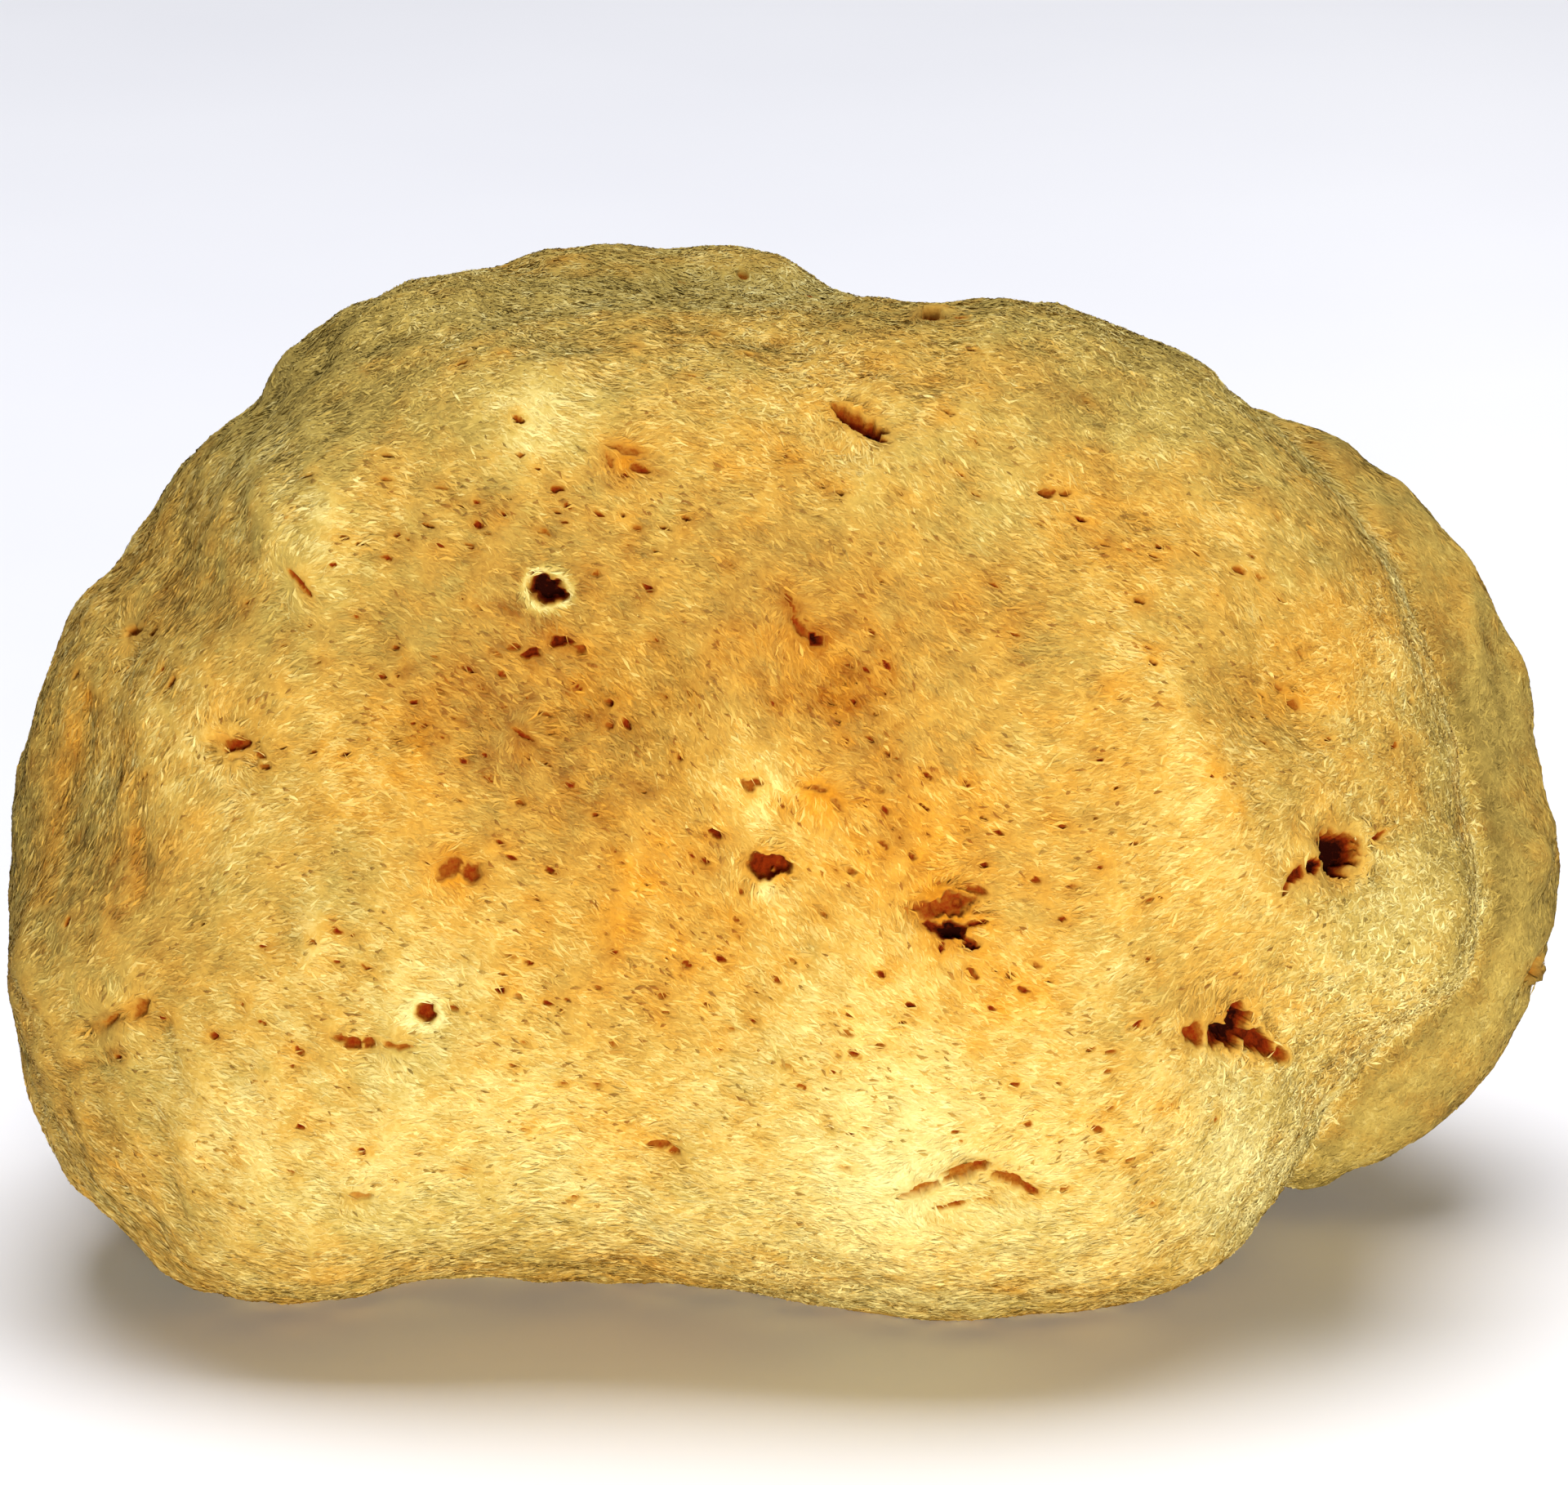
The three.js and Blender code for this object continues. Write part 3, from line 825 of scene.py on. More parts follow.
@dataclass(frozen=True)
class SponginTones:
    """Dried spongin from dark to pale, where it is dusty and where it is amber.

    Attributes:
        dusty: Dark, middle and pale where the sponge is olive and bleached, and where painted shade dulls it.
        amber: Dark, middle and pale where it is stained orange.
    """

    dusty: tuple[str, str, str] = ("#6f5d2c", "#b0994e", "#dcd190")
    amber: tuple[str, str, str] = ("#8c4c0a", "#c98c24", "#e6c464")

    def colour(self, tree: bpy.types.NodeTree, tone: Any, warmth: Any) -> Any:
        """Adds the nodes that turn tone and warmth into a colour.

        Args:
            tree: The material's node tree.
            tone: The output that holds the tone.
            warmth: The output that holds the warmth.

        Returns:
            The output that holds the colour.
        """
        ends = []
        for colours in (self.dusty, self.amber):
            ramp = add_node(tree, "ShaderNodeValToRGB", {}, {"Fac": tone})
            ramp.color_ramp.elements[0].color = linear(colours[0])
            ramp.color_ramp.elements[1].color = linear(colours[2])
            ramp.color_ramp.elements.new(0.5).color = linear(colours[1])
            ends.append(ramp.outputs["Color"])
        mixed = add_node(tree, "ShaderNodeMix", {"data_type": "RGBA"}, {0: warmth, 6: ends[0], 7: ends[1]})
        return mixed.outputs[2]


@dataclass(frozen=True)
class SkinFinish:
    """Matted spongin, the springy protein of a bath sponge: matt and golden, orange-red inside its openings
    and painted darker toward their bottoms as shade.

    Attributes:
        tones: Its colours outside.
        rim: The edge of an opening.
        shallow: The walls of a fine pore.
        deep: The walls of a large opening.
        dark: Its bottom, nearly black: painted shade.
        felt_mm: The width of the felted strands.
    """

    tones: SponginTones = SponginTones()
    rim: str = "#a8782c"
    shallow: str = "#8a4e12"
    deep: str = "#782604"
    dark: str = "#1e0300"
    felt_mm: float = 0.5

    def material(self) -> bpy.types.Material:
        """Builds the skin's material: felted tone from noise, and the depth of the openings from the mesh."""
        made, shader = new_material("matted_spongin", 0.92, 0.05)
        tree = made.node_tree
        place = add_node(tree, "ShaderNodeTexCoord", {}, {}).outputs["Object"]
        hollow, tone, warmth = (
            add_node(tree, "ShaderNodeAttribute", {"attribute_name": name}, {}).outputs["Fac"]
            for name in ("hollow", "tone", "warmth")
        )
        felt = add_node(tree, "ShaderNodeTexNoise", {"Scale": 1 / (self.felt_mm * MM), "Detail": 4.0,
                        "Roughness": 0.65}, {"Vector": place}).outputs["Fac"]
        outside = self.tones.colour(tree, self._felted(tree, felt, tone, 0.6, 0.36), warmth)
        # Painted shade: the openings' walls darken toward a nearly black bottom, over their own orange-red.
        walls = add_node(tree, "ShaderNodeValToRGB", {}, {"Fac": self._felted(tree, felt, hollow, 0.7, 0.35)})
        ramp = walls.color_ramp
        ramp.elements[0].position, ramp.elements[0].color = 0.1, linear(self.rim)
        ramp.elements[1].position, ramp.elements[1].color = 0.95, linear(self.dark)
        ramp.elements.new(0.35).color = linear(self.shallow)
        ramp.elements.new(0.6).color = linear(self.deep)
        inside = add_node(tree, "ShaderNodeMapRange", {"From Min": 0.02, "From Max": 0.25}, {"Value": hollow})
        colour = add_node(tree, "ShaderNodeMix", {"data_type": "RGBA"},
                          {0: inside.outputs["Result"], 6: outside, 7: walls.outputs["Color"]})
        bump = add_node(tree, "ShaderNodeBump", {"Strength": 0.5, "Distance": 0.15 * MM}, {"Height": felt})
        tree.links.new(colour.outputs[2], shader.inputs["Base Color"])
        tree.links.new(bump.outputs["Normal"], shader.inputs["Normal"])
        return made

    @staticmethod
    def _felted(tree: bpy.types.NodeTree, felt: Any, value: Any, gain: float, less: float) -> Any:
        """Adds the nodes that stray a value by the felt.

        Args:
            tree: The material's node tree.
            felt: The output that holds the felt.
            value: The output that holds the value.
            gain: How far the felt strays it.
            less: What is taken off again.

        Returns:
            The output that holds felt * gain + value - less.
        """
        raised = add_node(tree, "ShaderNodeMath", {"operation": "MULTIPLY_ADD"}, {0: felt, 2: value})
        raised.inputs[1].default_value = gain
        lowered = add_node(tree, "ShaderNodeMath", {"operation": "SUBTRACT"}, {0: raised.outputs[0]})
        lowered.inputs[1].default_value = less
        return lowered.outputs[0]


@dataclass(frozen=True)
class FibreFinish:
    """Spongin fibres, dried and bleached: each painted darker at its root as shade and paler at its tip as a
    highlight.

    A fibre's UV map holds its tone across and its warmth up, so one small chart gives every fibre its colour.

    Attributes:
        tones: Their colours.
        map_name: The UV map that holds tone and warmth.
    """

    tones: SponginTones = SponginTones()
    map_name: str = "OFBake"

    def material(self) -> bpy.types.Material:
        """Builds the fibres' material."""
        made, shader = new_material("bleached_spongin_fibre", 0.8, 0.1)
        tree = made.node_tree
        chart = add_node(tree, "ShaderNodeUVMap", {"uv_map": self.map_name}, {}).outputs["UV"]
        split = add_node(tree, "ShaderNodeSeparateXYZ", {}, {"Vector": chart})
        colour = self.tones.colour(tree, split.outputs["X"], split.outputs["Y"])
        tree.links.new(colour, shader.inputs["Base Color"])
        return made


@dataclass
class SpongeSkin:
    """The sponge's own surface: the solid's form, made even and finer, with its pores.

    Attributes:
        sight: The eye that places holes on the face.
        warren: Takes the openings.
        flow: The way the fibres lie, which slit pores follow.
        colouring: How pale and how amber it is.
        voxel: The mesh's spacing away from holes.
        splits: How far past an opening's edge each splitting reaches, after how many times its size.
        smoothing: How often it is smoothed, which takes the solid's facets away.
        nap: How far the skin lies under the tips of the nap.
        lump: How high its small lumps stand.
        base_edge: Below this height the skin belongs to the flat cut.
        other_pores: How many fine pores the other sides have.
        side_dark: How dark the large openings of the other sides are.
        rays: How many rays round a large opening find the skin it lies in.
        clear: A distance from the middle that is clear of the sponge.
        seed: Makes the pores' places its own.
    """

    sight: Sight
    warren: Warren
    flow: Flow
    colouring: Colouring
    voxel: float = 1.15
    splits: tuple[tuple[float, float], ...] = ((1.0, 1.25), (0.45, 1.0))
    smoothing: int = 8
    nap: float = 0.35
    lump: float = 0.34
    base_edge: float = 0.25
    other_pores: int = 340
    side_dark: float = 0.85
    rays: int = 12
    clear: float = 110.0
    seed: int = 11
    piece: bpy.types.Object = field(init=False)

    def build(self) -> bpy.types.Object:
        """Builds the skin's mesh.

        Returns:
            The skin, with a hollow attribute that is 1 at the bottom of an opening.
        """
        self._copy_solid()
        self._even_out()
        self._place_burrows()
        for margin, spread in self.splits:
            self._refine(margin, spread)
        self._triangulate()
        self._displace()
        self._tint()
        return self.piece

    def _copy_solid(self) -> None:
        """Copies the solid's mesh and joins its loose triangles."""
        self.piece = bpy.data.objects.new("sponge_skin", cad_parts[NODE].data.copy())
        self.piece.data.materials.clear()
        bpy.context.scene.collection.objects.link(self.piece)
        select_only(self.piece)
        bpy.ops.object.mode_set(mode="EDIT")
        bpy.ops.mesh.select_all(action="SELECT")
        bpy.ops.mesh.remove_doubles(threshold=0.001 * MM)
        bpy.ops.object.mode_set(mode="OBJECT")

    def _even_out(self) -> None:
        """Gives the skin even faces and smooths the solid's facets away."""
        even = self.piece.modifiers.new("even", "REMESH")
        even.mode = "VOXEL"
        even.voxel_size = self.voxel * MM
        soft = self.piece.modifiers.new("soft", "SMOOTH")
        soft.factor = 0.5
        soft.iterations = self.smoothing
        for name in ("even", "soft"):
            bpy.ops.object.modifier_apply(modifier=name)

    def points(self) -> Array:
        """The skin's points in millimetres."""
        return read_all(self.piece.data.vertices, "co") / MM

    def normals(self) -> Array:
        """The skin's normals at its points."""
        return read_all(self.piece.data.vertex_normals, "vector")

    def _burrow(self, place: Array, normal: Array, along: Array, hole: Hole, ragged: float) -> Burrow:
        """Sets a hole in the skin.

        Args:
            place: Its middle.
            normal: The skin's normal there.
            along: The way of its length, not yet in the skin.
            hole: Its sizes.
            ragged: Sets how its edge strays.

        Returns:
            The burrow.
        """
        inwards = unit(-normal + 0.5 * self.sight.back * max(0.0, -(normal @ self.sight.back)))
        along = unit(along - (along @ inwards) * inwards)
        return Burrow(place, along, np.cross(inwards, along), inwards, hole, ragged)

    def _land(self, tree: BVHTree, start: Array, way: Array, hole: Hole, number: int) -> None:
        """Sets a large hole in the skin, level with the skin all round it.

        Args:
            tree: The skin.
            start: A place outside, in line with the hole.
            way: The way from there to the hole.
            hole: Its sizes.
            number: Makes its edge its own.
        """
        level = unit(np.cross(way, self.sight.up))
        steep = np.cross(level, way)
        gaps, normals = [], np.zeros(3)
        for angle in np.linspace(0, 2 * np.pi, self.rays, endpoint=False):
            aside = (cos(angle) * level + sin(angle) * steep) * (1.3 * hole.half[0] + 0.7)
            hit, normal, _, gap = tree.ray_cast(Vector((start + aside) * MM), Vector(way))
            if hit is not None:
                gaps.append(gap / MM)
                normals = normals + np.array(normal)
        if gaps:
            place = start + way * np.median(gaps)
            along = cos(radians(hole.turn)) * level + sin(radians(hole.turn)) * steep
            self.warren.burrows.append(self._burrow(place, unit(normals), along, hole, number))

    def _place_burrows(self) -> None:
        """Finds where every opening and pore lies on the skin."""
        draw = np.random.default_rng(self.seed)
        tree = BVHTree.FromObject(self.piece, bpy.context.evaluated_depsgraph_get())
        eye, middle = self.sight.eye, np.array(self.sight.middle)
        for number, hole in enumerate(FACE_HOLES):
            self._land(tree, eye, self.sight.towards(hole.across, hole.up), hole, number)
        for number, side in enumerate(SIDE_HOLES):
            way = self.sight.outwards(side.compass, side.height)
            hole = Hole(0, 0, side.half, side.turn, side.depth, self.side_dark)
            self._land(tree, middle + self.clear * way, -way, hole, number)
        for patch in PORE_FIELDS:
            for across, up in draw.normal(size=(patch.count, 2)) * patch.reach + (patch.across, patch.up):
                hit, normal, _, _ = tree.ray_cast(Vector(eye * MM), Vector(self.sight.towards(across, up)))
                if hit is not None:
                    self._add_pore(np.array(hit) / MM, np.array(normal), patch.size, draw)
        for way in unit(draw.normal(size=(self.other_pores, 3))):
            start = Vector((middle + self.clear * way) * MM)
            hit, normal, _, _ = tree.ray_cast(start, Vector(-way))
            if hit is not None and normal @ Vector(self.sight.back) > -0.5 and hit.z > 2 * MM:
                self._add_pore(np.array(hit) / MM, np.array(normal), PoreField.size, draw)

    def _add_pore(self, place: Array, normal: Array, size: float, draw: np.random.Generator) -> None:
        """Adds one fine pore, unless another opening is too close.

        Args:
            place: Its middle on the skin.
            normal: The skin's normal there.
            size: Half its usual length.
            draw: Gives its own sizes.
        """
        length, slim, depth, dark, ragged = draw.uniform(*PORE_RANGE)
        half = (size * length, size * length * slim)
        for other in self.warren.burrows:
            if np.linalg.norm(other.place - place) < 1.2 * (half[0] + other.length):
                return
        along, _ = self.flow.at(place[None], normal[None])
        hole = Hole(0, 0, half, 0, depth, dark)
        self.warren.burrows.append(self._burrow(place, normal, along[0], hole, ragged))

    def _refine(self, margin: float, spread: float) -> None:
        """Splits the faces near the openings into four.

        Args:
            margin: How far past an opening's edge it still splits.
            spread: How many times the opening's own size is split as well.
        """
        mesh = self.piece.data
        centres = read_all(mesh.polygons, "center") / MM
        tree = point_tree(centres)
        chosen = np.zeros(len(centres), bool)
        for burrow in self.warren.burrows:
            chosen[within(tree, burrow.place, spread * burrow.length + margin)] = True
        mesh.vertices.foreach_set("select", np.zeros(len(mesh.vertices), bool))
        mesh.edges.foreach_set("select", np.zeros(len(mesh.edges), bool))
        mesh.polygons.foreach_set("select", chosen)
        select_only(self.piece)
        bpy.context.tool_settings.mesh_select_mode = (False, False, True)
        bpy.ops.object.mode_set(mode="EDIT")
        bpy.ops.mesh.subdivide(number_cuts=1)
        bpy.ops.object.mode_set(mode="OBJECT")

    def _triangulate(self) -> None:
        """Makes every face a triangle."""
        bpy.ops.object.mode_set(mode="EDIT")
        bpy.ops.mesh.select_all(action="SELECT")
        bpy.ops.mesh.quads_convert_to_tris(quad_method="SHORTEST_DIAGONAL", ngon_method="BEAUTY")
        bpy.ops.object.mode_set(mode="OBJECT")

    def _displace(self) -> None:
        """Sinks the openings, raises the lumps and lays the skin under the nap's tips."""
        mesh = self.piece.data
        start, normals = self.points(), self.normals()
        tree = point_tree(start)
        sunk, ways = np.full(len(start), -np.inf), np.zeros_like(start)
        raised, hollow = np.zeros(len(start)), np.zeros(len(start))
        for burrow in self.warren.burrows:
            near = within(tree, burrow.place, 1.7 * burrow.length + 1.5 * burrow.hole.depth)
            depth, lip, dark = burrow.shape(start[near])
            deeper = depth > sunk[near]
            sunk[near[deeper]] = depth[deeper]
            ways[near[deeper]] = burrow.inwards
            hollow[near] = np.maximum(hollow[near], dark)
            raised[near] += lip
        sunk[np.isneginf(sunk)] = 0.0
        filled = sunk < 0
        sunk[filled] = np.minimum(sunk[filled] + self.nap, 0.0)
        lumps = self.lump * (0.7 * Ripples(6.5, 3).at(start) + 0.3 * Ripples(3.0, 4).at(start))
        seen = self.sight.on_face(start)
        front = start[:, 1] < self.colouring.flank.hind_edge
        for fold in [self.colouring.flank.crease, *FOLDS]:
            lumps = lumps - front * fold.depth * fold.hold(seen)
        lie = (lumps - self.nap + raised) * (1 - np.minimum(hollow, 1)) * ~filled
        moved = start + lie[:, None] * normals + sunk[:, None] * ways
        flat = start[:, 2] < self.base_edge
        moved[flat] = start[flat]
        moved[:, 2] = np.maximum(moved[:, 2], np.minimum(start[:, 2], 0.1))
        mesh.vertices.foreach_set("co", (moved * MM).astype(np.float32).ravel())
        mesh.attributes.new("hollow", "FLOAT", "POINT").data.foreach_set("value", hollow.astype(np.float32))
        mesh.update()
        select_only(self.piece)
        bpy.ops.object.shade_smooth()

    def _tint(self) -> None:
        """Writes the skin's tone and warmth on its mesh."""
        mesh = self.piece.data
        tone, warmth = self.colouring.at(self.points(), self.normals())
        for name, values in (("tone", tone), ("warmth", warmth)):
            mesh.attributes.new(name, "FLOAT", "POINT").data.foreach_set("value", values.astype(np.float32))

    def dress(self) -> None:
        """Gives the skin its finish and says what it stands for."""
        self.piece.data.materials.append(SkinFinish().material())
        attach(self.piece, BODY)
        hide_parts(NODE)


@dataclass(frozen=True)
class Strand:
    """One kind of strand in the nap.

    Attributes:
        share: How much of the nap it makes up.
        length: Its usual length.
        half_width: Half its usual width.
        rise: How far its middle stands over the skin.
        tone: How much paler it is than the skin.
        warmth: How much more amber it is.
        spread: How far its tone strays from strand to strand.
    """

    share: float
    length: float
    half_width: float
    rise: float
    tone: float
    warmth: float
    spread: float


class StrandKind(Enum):
    """What the nap is made of: fine fibres, matted wisps, and dark strands that are painted shade in the gaps
    between them.
    """

    FIBRE = Strand(0.70, 1.2, 0.070, 0.05, 0.00, 0.0, 0.09)
    WISP = Strand(0.20, 1.7, 0.120, 0.05, 0.05, -0.03, 0.10)
    # Painted shade: dark strands laid where the gaps between the fibres fall in shade.
    PAINTED_SHADE_GAP = Strand(0.10, 1.0, 0.120, 0.12, -0.40, 0.05, 0.12)


@dataclass
class FibreNap:
    """The velvety nap: short bent strands that lie along the skin and hold on at both ends.

    Attributes:
        skin: What they grow from.
        flow: The way they lie.
        bunches: How many pieces the nap is made in.
        strands: How many strands a piece has.
        spare: How many more are tried, since those over openings are left out.
        curl: How much shorter a curly strand is.
        lengths: The least and most of a strand's usual length.
        widths: The least and most of its usual width.
        rises: The least and most of its usual rise.
        root: How far its root goes into the skin.
        bare: How dark an opening is from which no strand grows in it.
        base_edge: The height over the flat cut where the nap starts.
        seed: Makes their places its own.
    """

    skin: SpongeSkin
    flow: Flow
    bunches: int = 4
    strands: int = 96000
    spare: float = 1.15
    curl: float = 0.35
    lengths: tuple[float, float] = (0.6, 1.4)
    widths: tuple[float, float] = (0.7, 1.4)
    rises: tuple[float, float] = (0.4, 1.5)
    root: float = 0.03
    bare: float = 0.2
    base_edge: float = 0.4
    seed: int = 23
    pieces: list[bpy.types.Object] = field(init=False, default_factory=list)

    def build(self) -> list[bpy.types.Object]:
        """Builds the nap's pieces.

        Returns:
            The pieces, each with a map of every strand's tone and warmth.
        """
        draw = np.random.default_rng(self.seed)
        mesh = self.skin.piece.data
        mesh.calc_loop_triangles()
        corners = np.empty(len(mesh.loop_triangles) * 3, np.int32)
        mesh.loop_triangles.foreach_get("vertices", corners)
        corners = corners.reshape(-1, 3)
        points, normals = self.skin.points(), self.skin.normals()
        a, b, c = (points[corners[:, i]] for i in range(3))
        cross = np.cross(b - a, c - a)
        facing = -(unit(cross) @ self.flow.sight.back)
        wanted = np.linalg.norm(cross, axis=1) * (0.55 + 0.6 * smooth_step(-0.2, 0.5, facing))
        hollow = read_all(mesh.attributes["hollow"].data, "value", 1)[:, 0]
        wanted *= (hollow[corners].max(axis=1) < self.bare) & (c[:, 2] > self.base_edge)
        chance = np.cumsum(wanted) / wanted.sum()
        ground = BVHTree.FromObject(self.skin.piece, bpy.context.evaluated_depsgraph_get())
        for number in range(self.bunches):
            tries = int(self.strands * self.spare)
            face = np.searchsorted(chance, draw.random(tries))
            share = np.sort(draw.random((tries, 2)), axis=1)
            weights = np.stack([share[:, 0], share[:, 1] - share[:, 0], 1 - share[:, 1]], axis=1)[:, :, None]
            roots = (points[corners[face]] * weights).sum(axis=1)
            outwards = unit((normals[corners[face]] * weights).sum(axis=1))
            self.pieces.append(self._bunch(f"nap_{number + 1}", roots, outwards, ground, draw))
        return self.pieces

    def _kinds(self, roots: Array, plain: Array, draw: np.random.Generator) -> Array:
        """Chooses what each strand is: the dark gap strands, which are painted shade, gather where the fine
        pores are.

        Args:
            roots: Where the strands start.
            plain: How far gaps are left out there.
            draw: Chooses.

        Returns:
            A row for each strand: its length, half width, rise, tone, warmth and spread.
        """
        kinds = [kind.value for kind in StrandKind]
        edges = np.cumsum([kind.share for kind in kinds])
        chosen = np.minimum(np.searchsorted(edges, draw.random(len(roots))), len(kinds) - 1)
        seen = self.flow.sight.on_face(roots)
        # Painted shade in the gaps, more of it on the left and near the fine pores.
        gap_shade_share = 0.12 + 0.10 * smooth_step(20.0, -20.0, seen[:, 0])
        for patch in PORE_FIELDS:
            away = (seen - (patch.across, patch.up)) / patch.reach
            gap_shade_share = gap_shade_share + 0.015 * patch.count * np.exp(-0.7 * (away * away).sum(axis=1))
        gap_shade_share = gap_shade_share * smooth_step(-0.9, 0.9, Ripples(5.0, 36).at(roots)) * (1 - plain)
        closed = (chosen == len(kinds) - 1) & (draw.random(len(roots)) > gap_shade_share)
        chosen[closed] = 0
        rows = [(k.length, k.half_width, k.rise, k.tone, k.warmth, k.spread) for k in kinds]
        return np.array(rows)[chosen]

    def _bunch(
        self, name: str, roots: Array, outwards: Array, ground: BVHTree, draw: np.random.Generator
    ) -> bpy.types.Object:
        """Builds one piece of the nap, leaving out the strands that would hide an opening.

        Args:
            name: The piece's name.
            roots: Where strands may start.
            outwards: The skin's normals there.
            ground: The skin, for laying the tips on it.
            draw: Gives each strand its own form and tone.

        Returns:
            The piece.
        """
        count = len(roots)
        ways, curly = self.flow.at(roots, outwards)
        flank = self.skin.colouring.flank
        sleek = flank.share(roots, flank.crease.past(self.flow.sight.on_face(roots)))
        grazed = smooth_step(0.75, 0.35, -(outwards @ self.flow.sight.back))
        length, width, rise, lift, amber, spread = self._kinds(roots, np.maximum(sleek, grazed), draw).T
        length = length * draw.uniform(*self.lengths, count) * (1 - self.curl * curly)
        width = width * draw.uniform(*self.widths, count)
        rise = rise * draw.uniform(*self.rises, count) * (1 + curly) * (1 - 0.6 * sleek)
        turn = draw.normal(size=count) * (0.30 + 0.9 * curly)
        across = np.cross(outwards, ways)
        lie = np.cos(turn)[:, None] * ways + np.sin(turn)[:, None] * across
        bow = np.cross(outwards, lie) * (length * draw.normal(size=count) * (0.10 + 0.15 * curly))[:, None]
        reach = roots + lie * length[:, None]
        tips = np.array([ground.find_nearest(tip)[0] for tip in reach * MM]) / MM
        granules = curly * Ripples(0.9, 37).at(roots) * (1 - sleek)
        middle = (roots + tips) / 2 + bow + outwards * (rise + 0.06 * granules)[:, None]
        roll = 0.3 * draw.normal(size=count)
        flat = np.cross(outwards, unit(tips - roots))
        side = (flat * np.cos(roll)[:, None] + outwards * np.sin(roll)[:, None]) * width[:, None]
        points = np.stack([roots - self.root * outwards, middle - side, middle + side, tips], axis=1)
        low, high = (np.array(corner) / MM for corner in CAD_BOX)
        points = np.clip(points, low + (0, 0, 0.05), high)
        tone, warmth = self.skin.colouring.at(middle, outwards)
        tone = tone + lift + 0.22 * granules + spread * draw.normal(size=count) * (1 - 0.7 * sleek)
        warmth = warmth + amber + 0.06 * draw.normal(size=count) - 0.10 * curly
        # Painted shade at each root and a painted highlight at each tip.
        tones = tone[:, None] + (1 - 0.7 * sleek)[:, None] * np.array([-0.06, 0.0, 0.0, 0.04])
        warmths = warmth[:, None] + np.array([0.0, 0.012, -0.012, 0.0])
        chart = np.stack([np.clip(tones, 0.02, 0.98), np.clip(warmths, 0.02, 0.98)], axis=2)
        past, _, dark = self.skin.warren.near(middle)
        kept = np.flatnonzero((past > 0.05) | (dark < self.bare))[:self.strands]
        faces = np.array([[0, 1, 2], [1, 3, 2]])
        corners = (faces[None] + 4 * np.arange(len(kept))[:, None, None]).reshape(-1, 3)
        return self._mesh(name, points[kept].reshape(-1, 3), corners, chart[kept].reshape(-1, 2))

    def _mesh(self, name: str, points: Array, corners: Array, chart: Array) -> bpy.types.Object:
        """Makes a piece from its points and triangles.

        Args:
            name: The piece's name.
            points: Its points in millimetres.
            corners: Three points for each triangle.
            chart: Tone and warmth at each point.

        Returns:
            The piece.
        """
        mesh = bpy.data.meshes.new(name)
        mesh.from_pydata((points * MM).astype(np.float32), [], corners)
        layer = mesh.uv_layers.new(name=FibreFinish.map_name)
        layer.uv.foreach_set("vector", chart[corners.ravel()].astype(np.float32).ravel())
        mesh.update()
        piece = bpy.data.objects.new(name, mesh)
        bpy.context.scene.collection.objects.link(piece)
        return piece

    def dress(self) -> None:
        """Gives the fibres their finish."""
        finish = FibreFinish().material()
        for piece in self.pieces:
            piece.data.materials.append(finish)
            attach(piece, BODY)


@dataclass(frozen=True)
class FloorFinish:
    """Matt white paper under studio light.

    Attributes:
        colour: The paper.
        shade: Its faint mottle.
        mottle_mm: The width of the mottle.
    """

    colour: str = "#f3f4f6"
    shade: str = "#eeeff2"
    mottle_mm: float = 60.0

    def material(self) -> bpy.types.Material:
        """Builds the paper's material."""
        made, shader = new_material("matt_white_paper", 0.95, 0.1)
        tree = made.node_tree
        place = add_node(tree, "ShaderNodeTexCoord", {}, {}).outputs["Object"]
        mottle = add_node(tree, "ShaderNodeTexNoise", {"Scale": 1 / (self.mottle_mm * MM)}, {"Vector": place})
        tone = add_node(tree, "ShaderNodeMix", {"data_type": "RGBA"}, {0: mottle.outputs["Fac"]})
        tone.inputs[6].default_value = linear(self.colour)
        tone.inputs[7].default_value = linear(self.shade)
        tree.links.new(tone.outputs[2], shader.inputs["Base Color"])
        return made


@dataclass(frozen=True)
class Lamp:
    """A soft square lamp that looks at the sponge.

    Attributes:
        name: What it is called.
        place: Where it stands, in millimetres.
        side: How wide it is.
        watts: How strong it is.
        colour: Its light.
    """

    name: str
    place: tuple[float, float, float]
    side: float
    watts: float
    colour: str


LAMPS = [
    Lamp("key", (110, -800, 110), 200, 8.6, "#fff6e6"),
    Lamp("top", (0, 100, 1100), 900, 16.5, "#fafaff"),
]


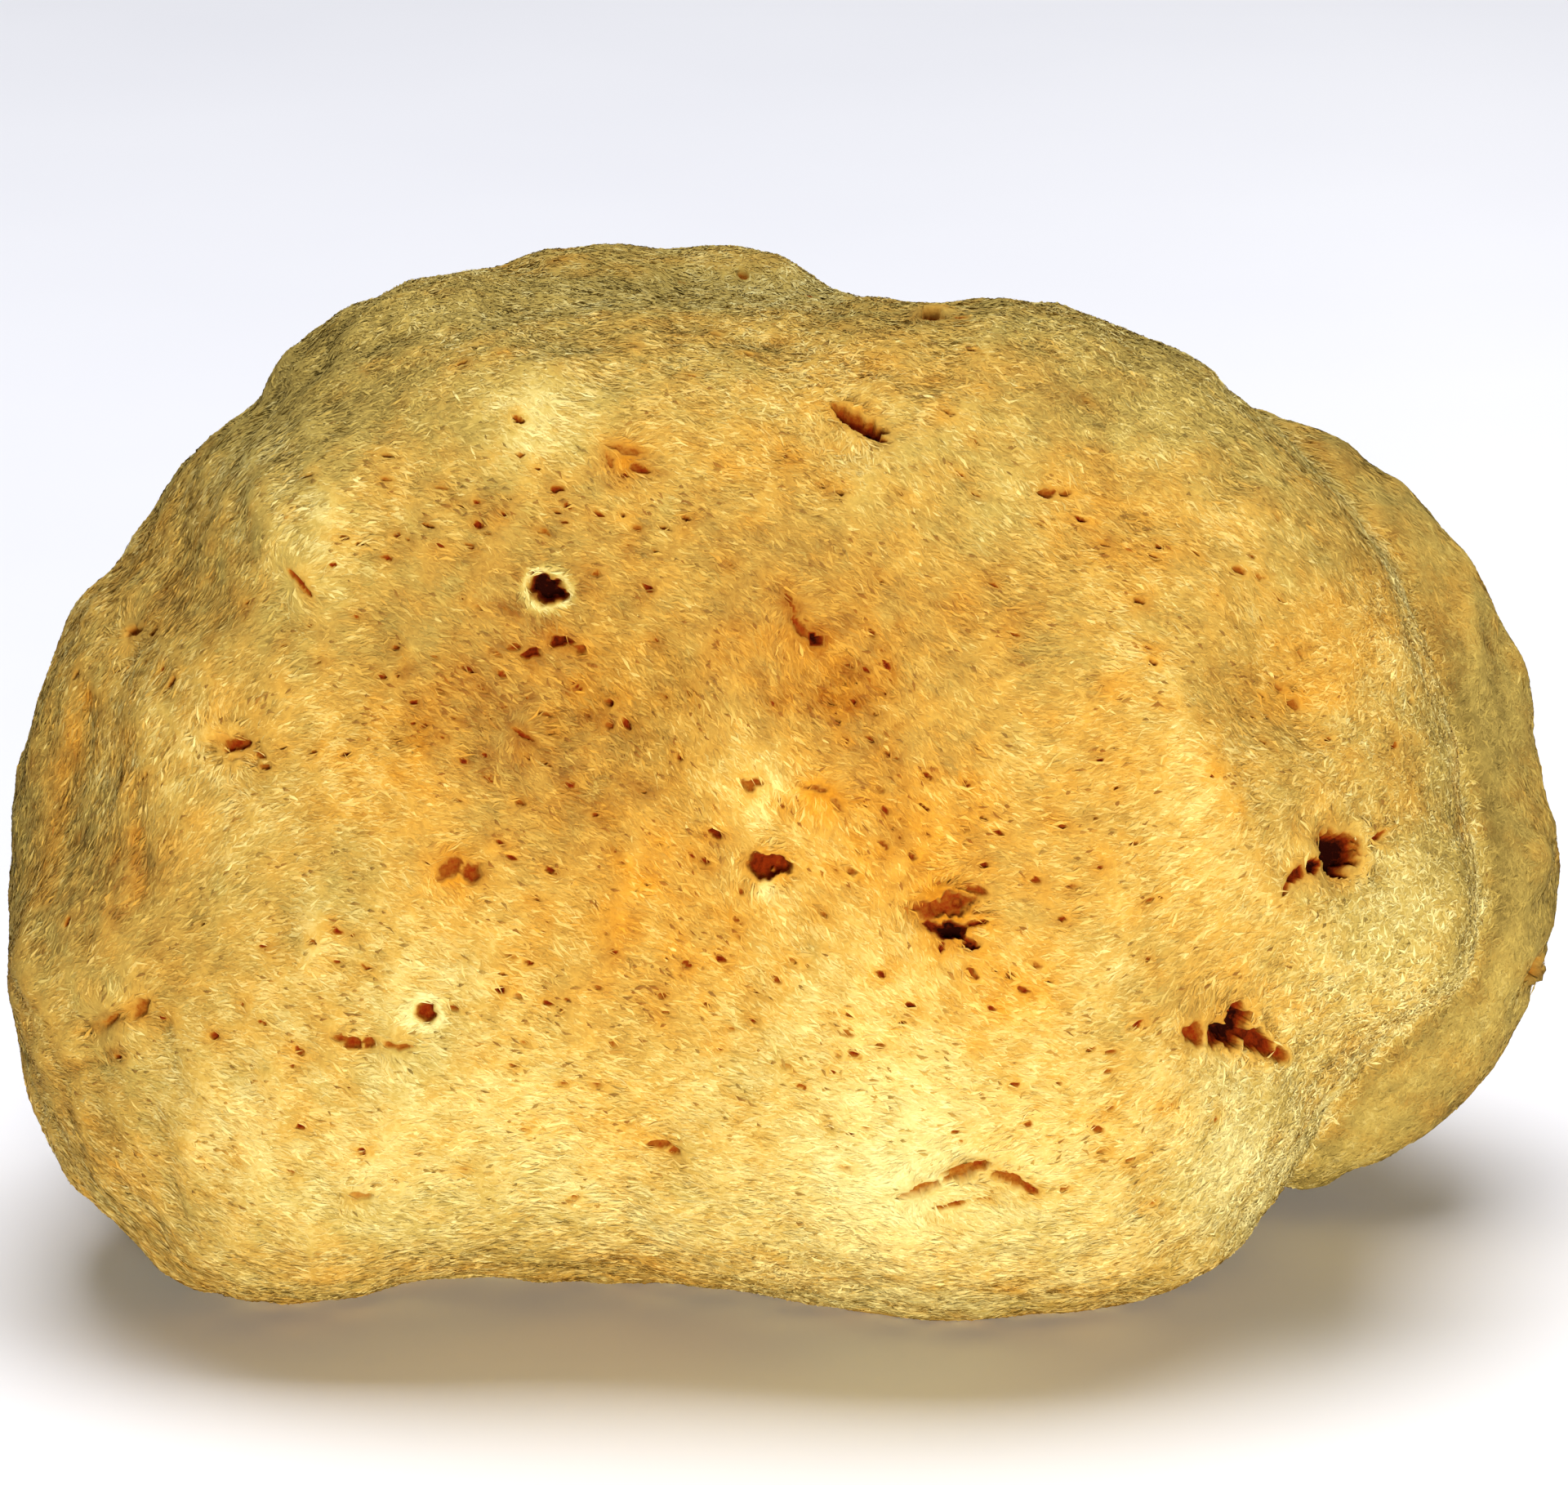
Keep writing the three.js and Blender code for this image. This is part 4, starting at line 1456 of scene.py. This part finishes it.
@dataclass
class Studio:
    """The floor, the light and the camera.

    Attributes:
        sight: Where the camera stands.
        floor_size: The floor's side.
        world: The light all round.
        world_strength: How strong that is.
    """

    sight: Sight
    floor_size: float = 6000.0
    world: str = "#eef0f4"
    world_strength: float = 0.05

    def build(self) -> None:
        """Builds the floor, the lamps, the world and the camera."""
        scene = bpy.context.scene
        bpy.ops.object.select_all(action="DESELECT")
        bpy.ops.mesh.primitive_plane_add(size=self.floor_size * MM, location=(0, 0, 0))
        floor = bpy.context.active_object
        floor.name = "floor"
        floor.data.materials.append(FloorFinish().material())
        for lamp in LAMPS:
            light = bpy.data.lights.new(lamp.name, "AREA")
            light.size = lamp.side * MM
            light.energy = lamp.watts
            light.color = linear(lamp.colour)[:3]
            holder = bpy.data.objects.new(lamp.name, light)
            holder.location = Vector(lamp.place) * MM
            aim = Vector(self.sight.middle) * MM - holder.location
            holder.rotation_euler = aim.to_track_quat("-Z", "Y").to_euler()
            scene.collection.objects.link(holder)
        world = bpy.data.worlds.new("studio")
        world.use_nodes = True
        world.node_tree.nodes["Background"].inputs["Color"].default_value = linear(self.world)
        world.node_tree.nodes["Background"].inputs["Strength"].default_value = self.world_strength
        scene.world = world
        scene.view_settings.view_transform = "Standard"
        lens = bpy.data.cameras.new("camera")
        lens.sensor_width = 36.0
        lens.lens = lens.sensor_width * self.sight.distance / self.sight.picture_width
        lens.clip_start = 0.01
        camera = bpy.data.objects.new("camera", lens)
        camera.location = Vector(self.sight.eye * MM)
        camera.rotation_euler = (radians(90 - self.sight.lean), 0, 0)
        scene.collection.objects.link(camera)
        scene.camera = camera


def main() -> None:
    """Builds and dresses the sponge, then the studio."""
    sight = Sight()
    warren = Warren()
    flow = Flow(sight, warren)
    skin = SpongeSkin(sight, warren, flow, Colouring(sight, warren))
    piece = skin.build()
    skin.dress()
    log.info("%s: %d triangles, %d openings", piece.name, len(piece.data.polygons), len(warren.burrows))
    nap = FibreNap(skin, flow)
    for piece in nap.build():
        log.info("%s: %d triangles", piece.name, len(piece.data.polygons))
    nap.dress()
    Studio(sight).build()


if __name__ == "__main__":
    main()
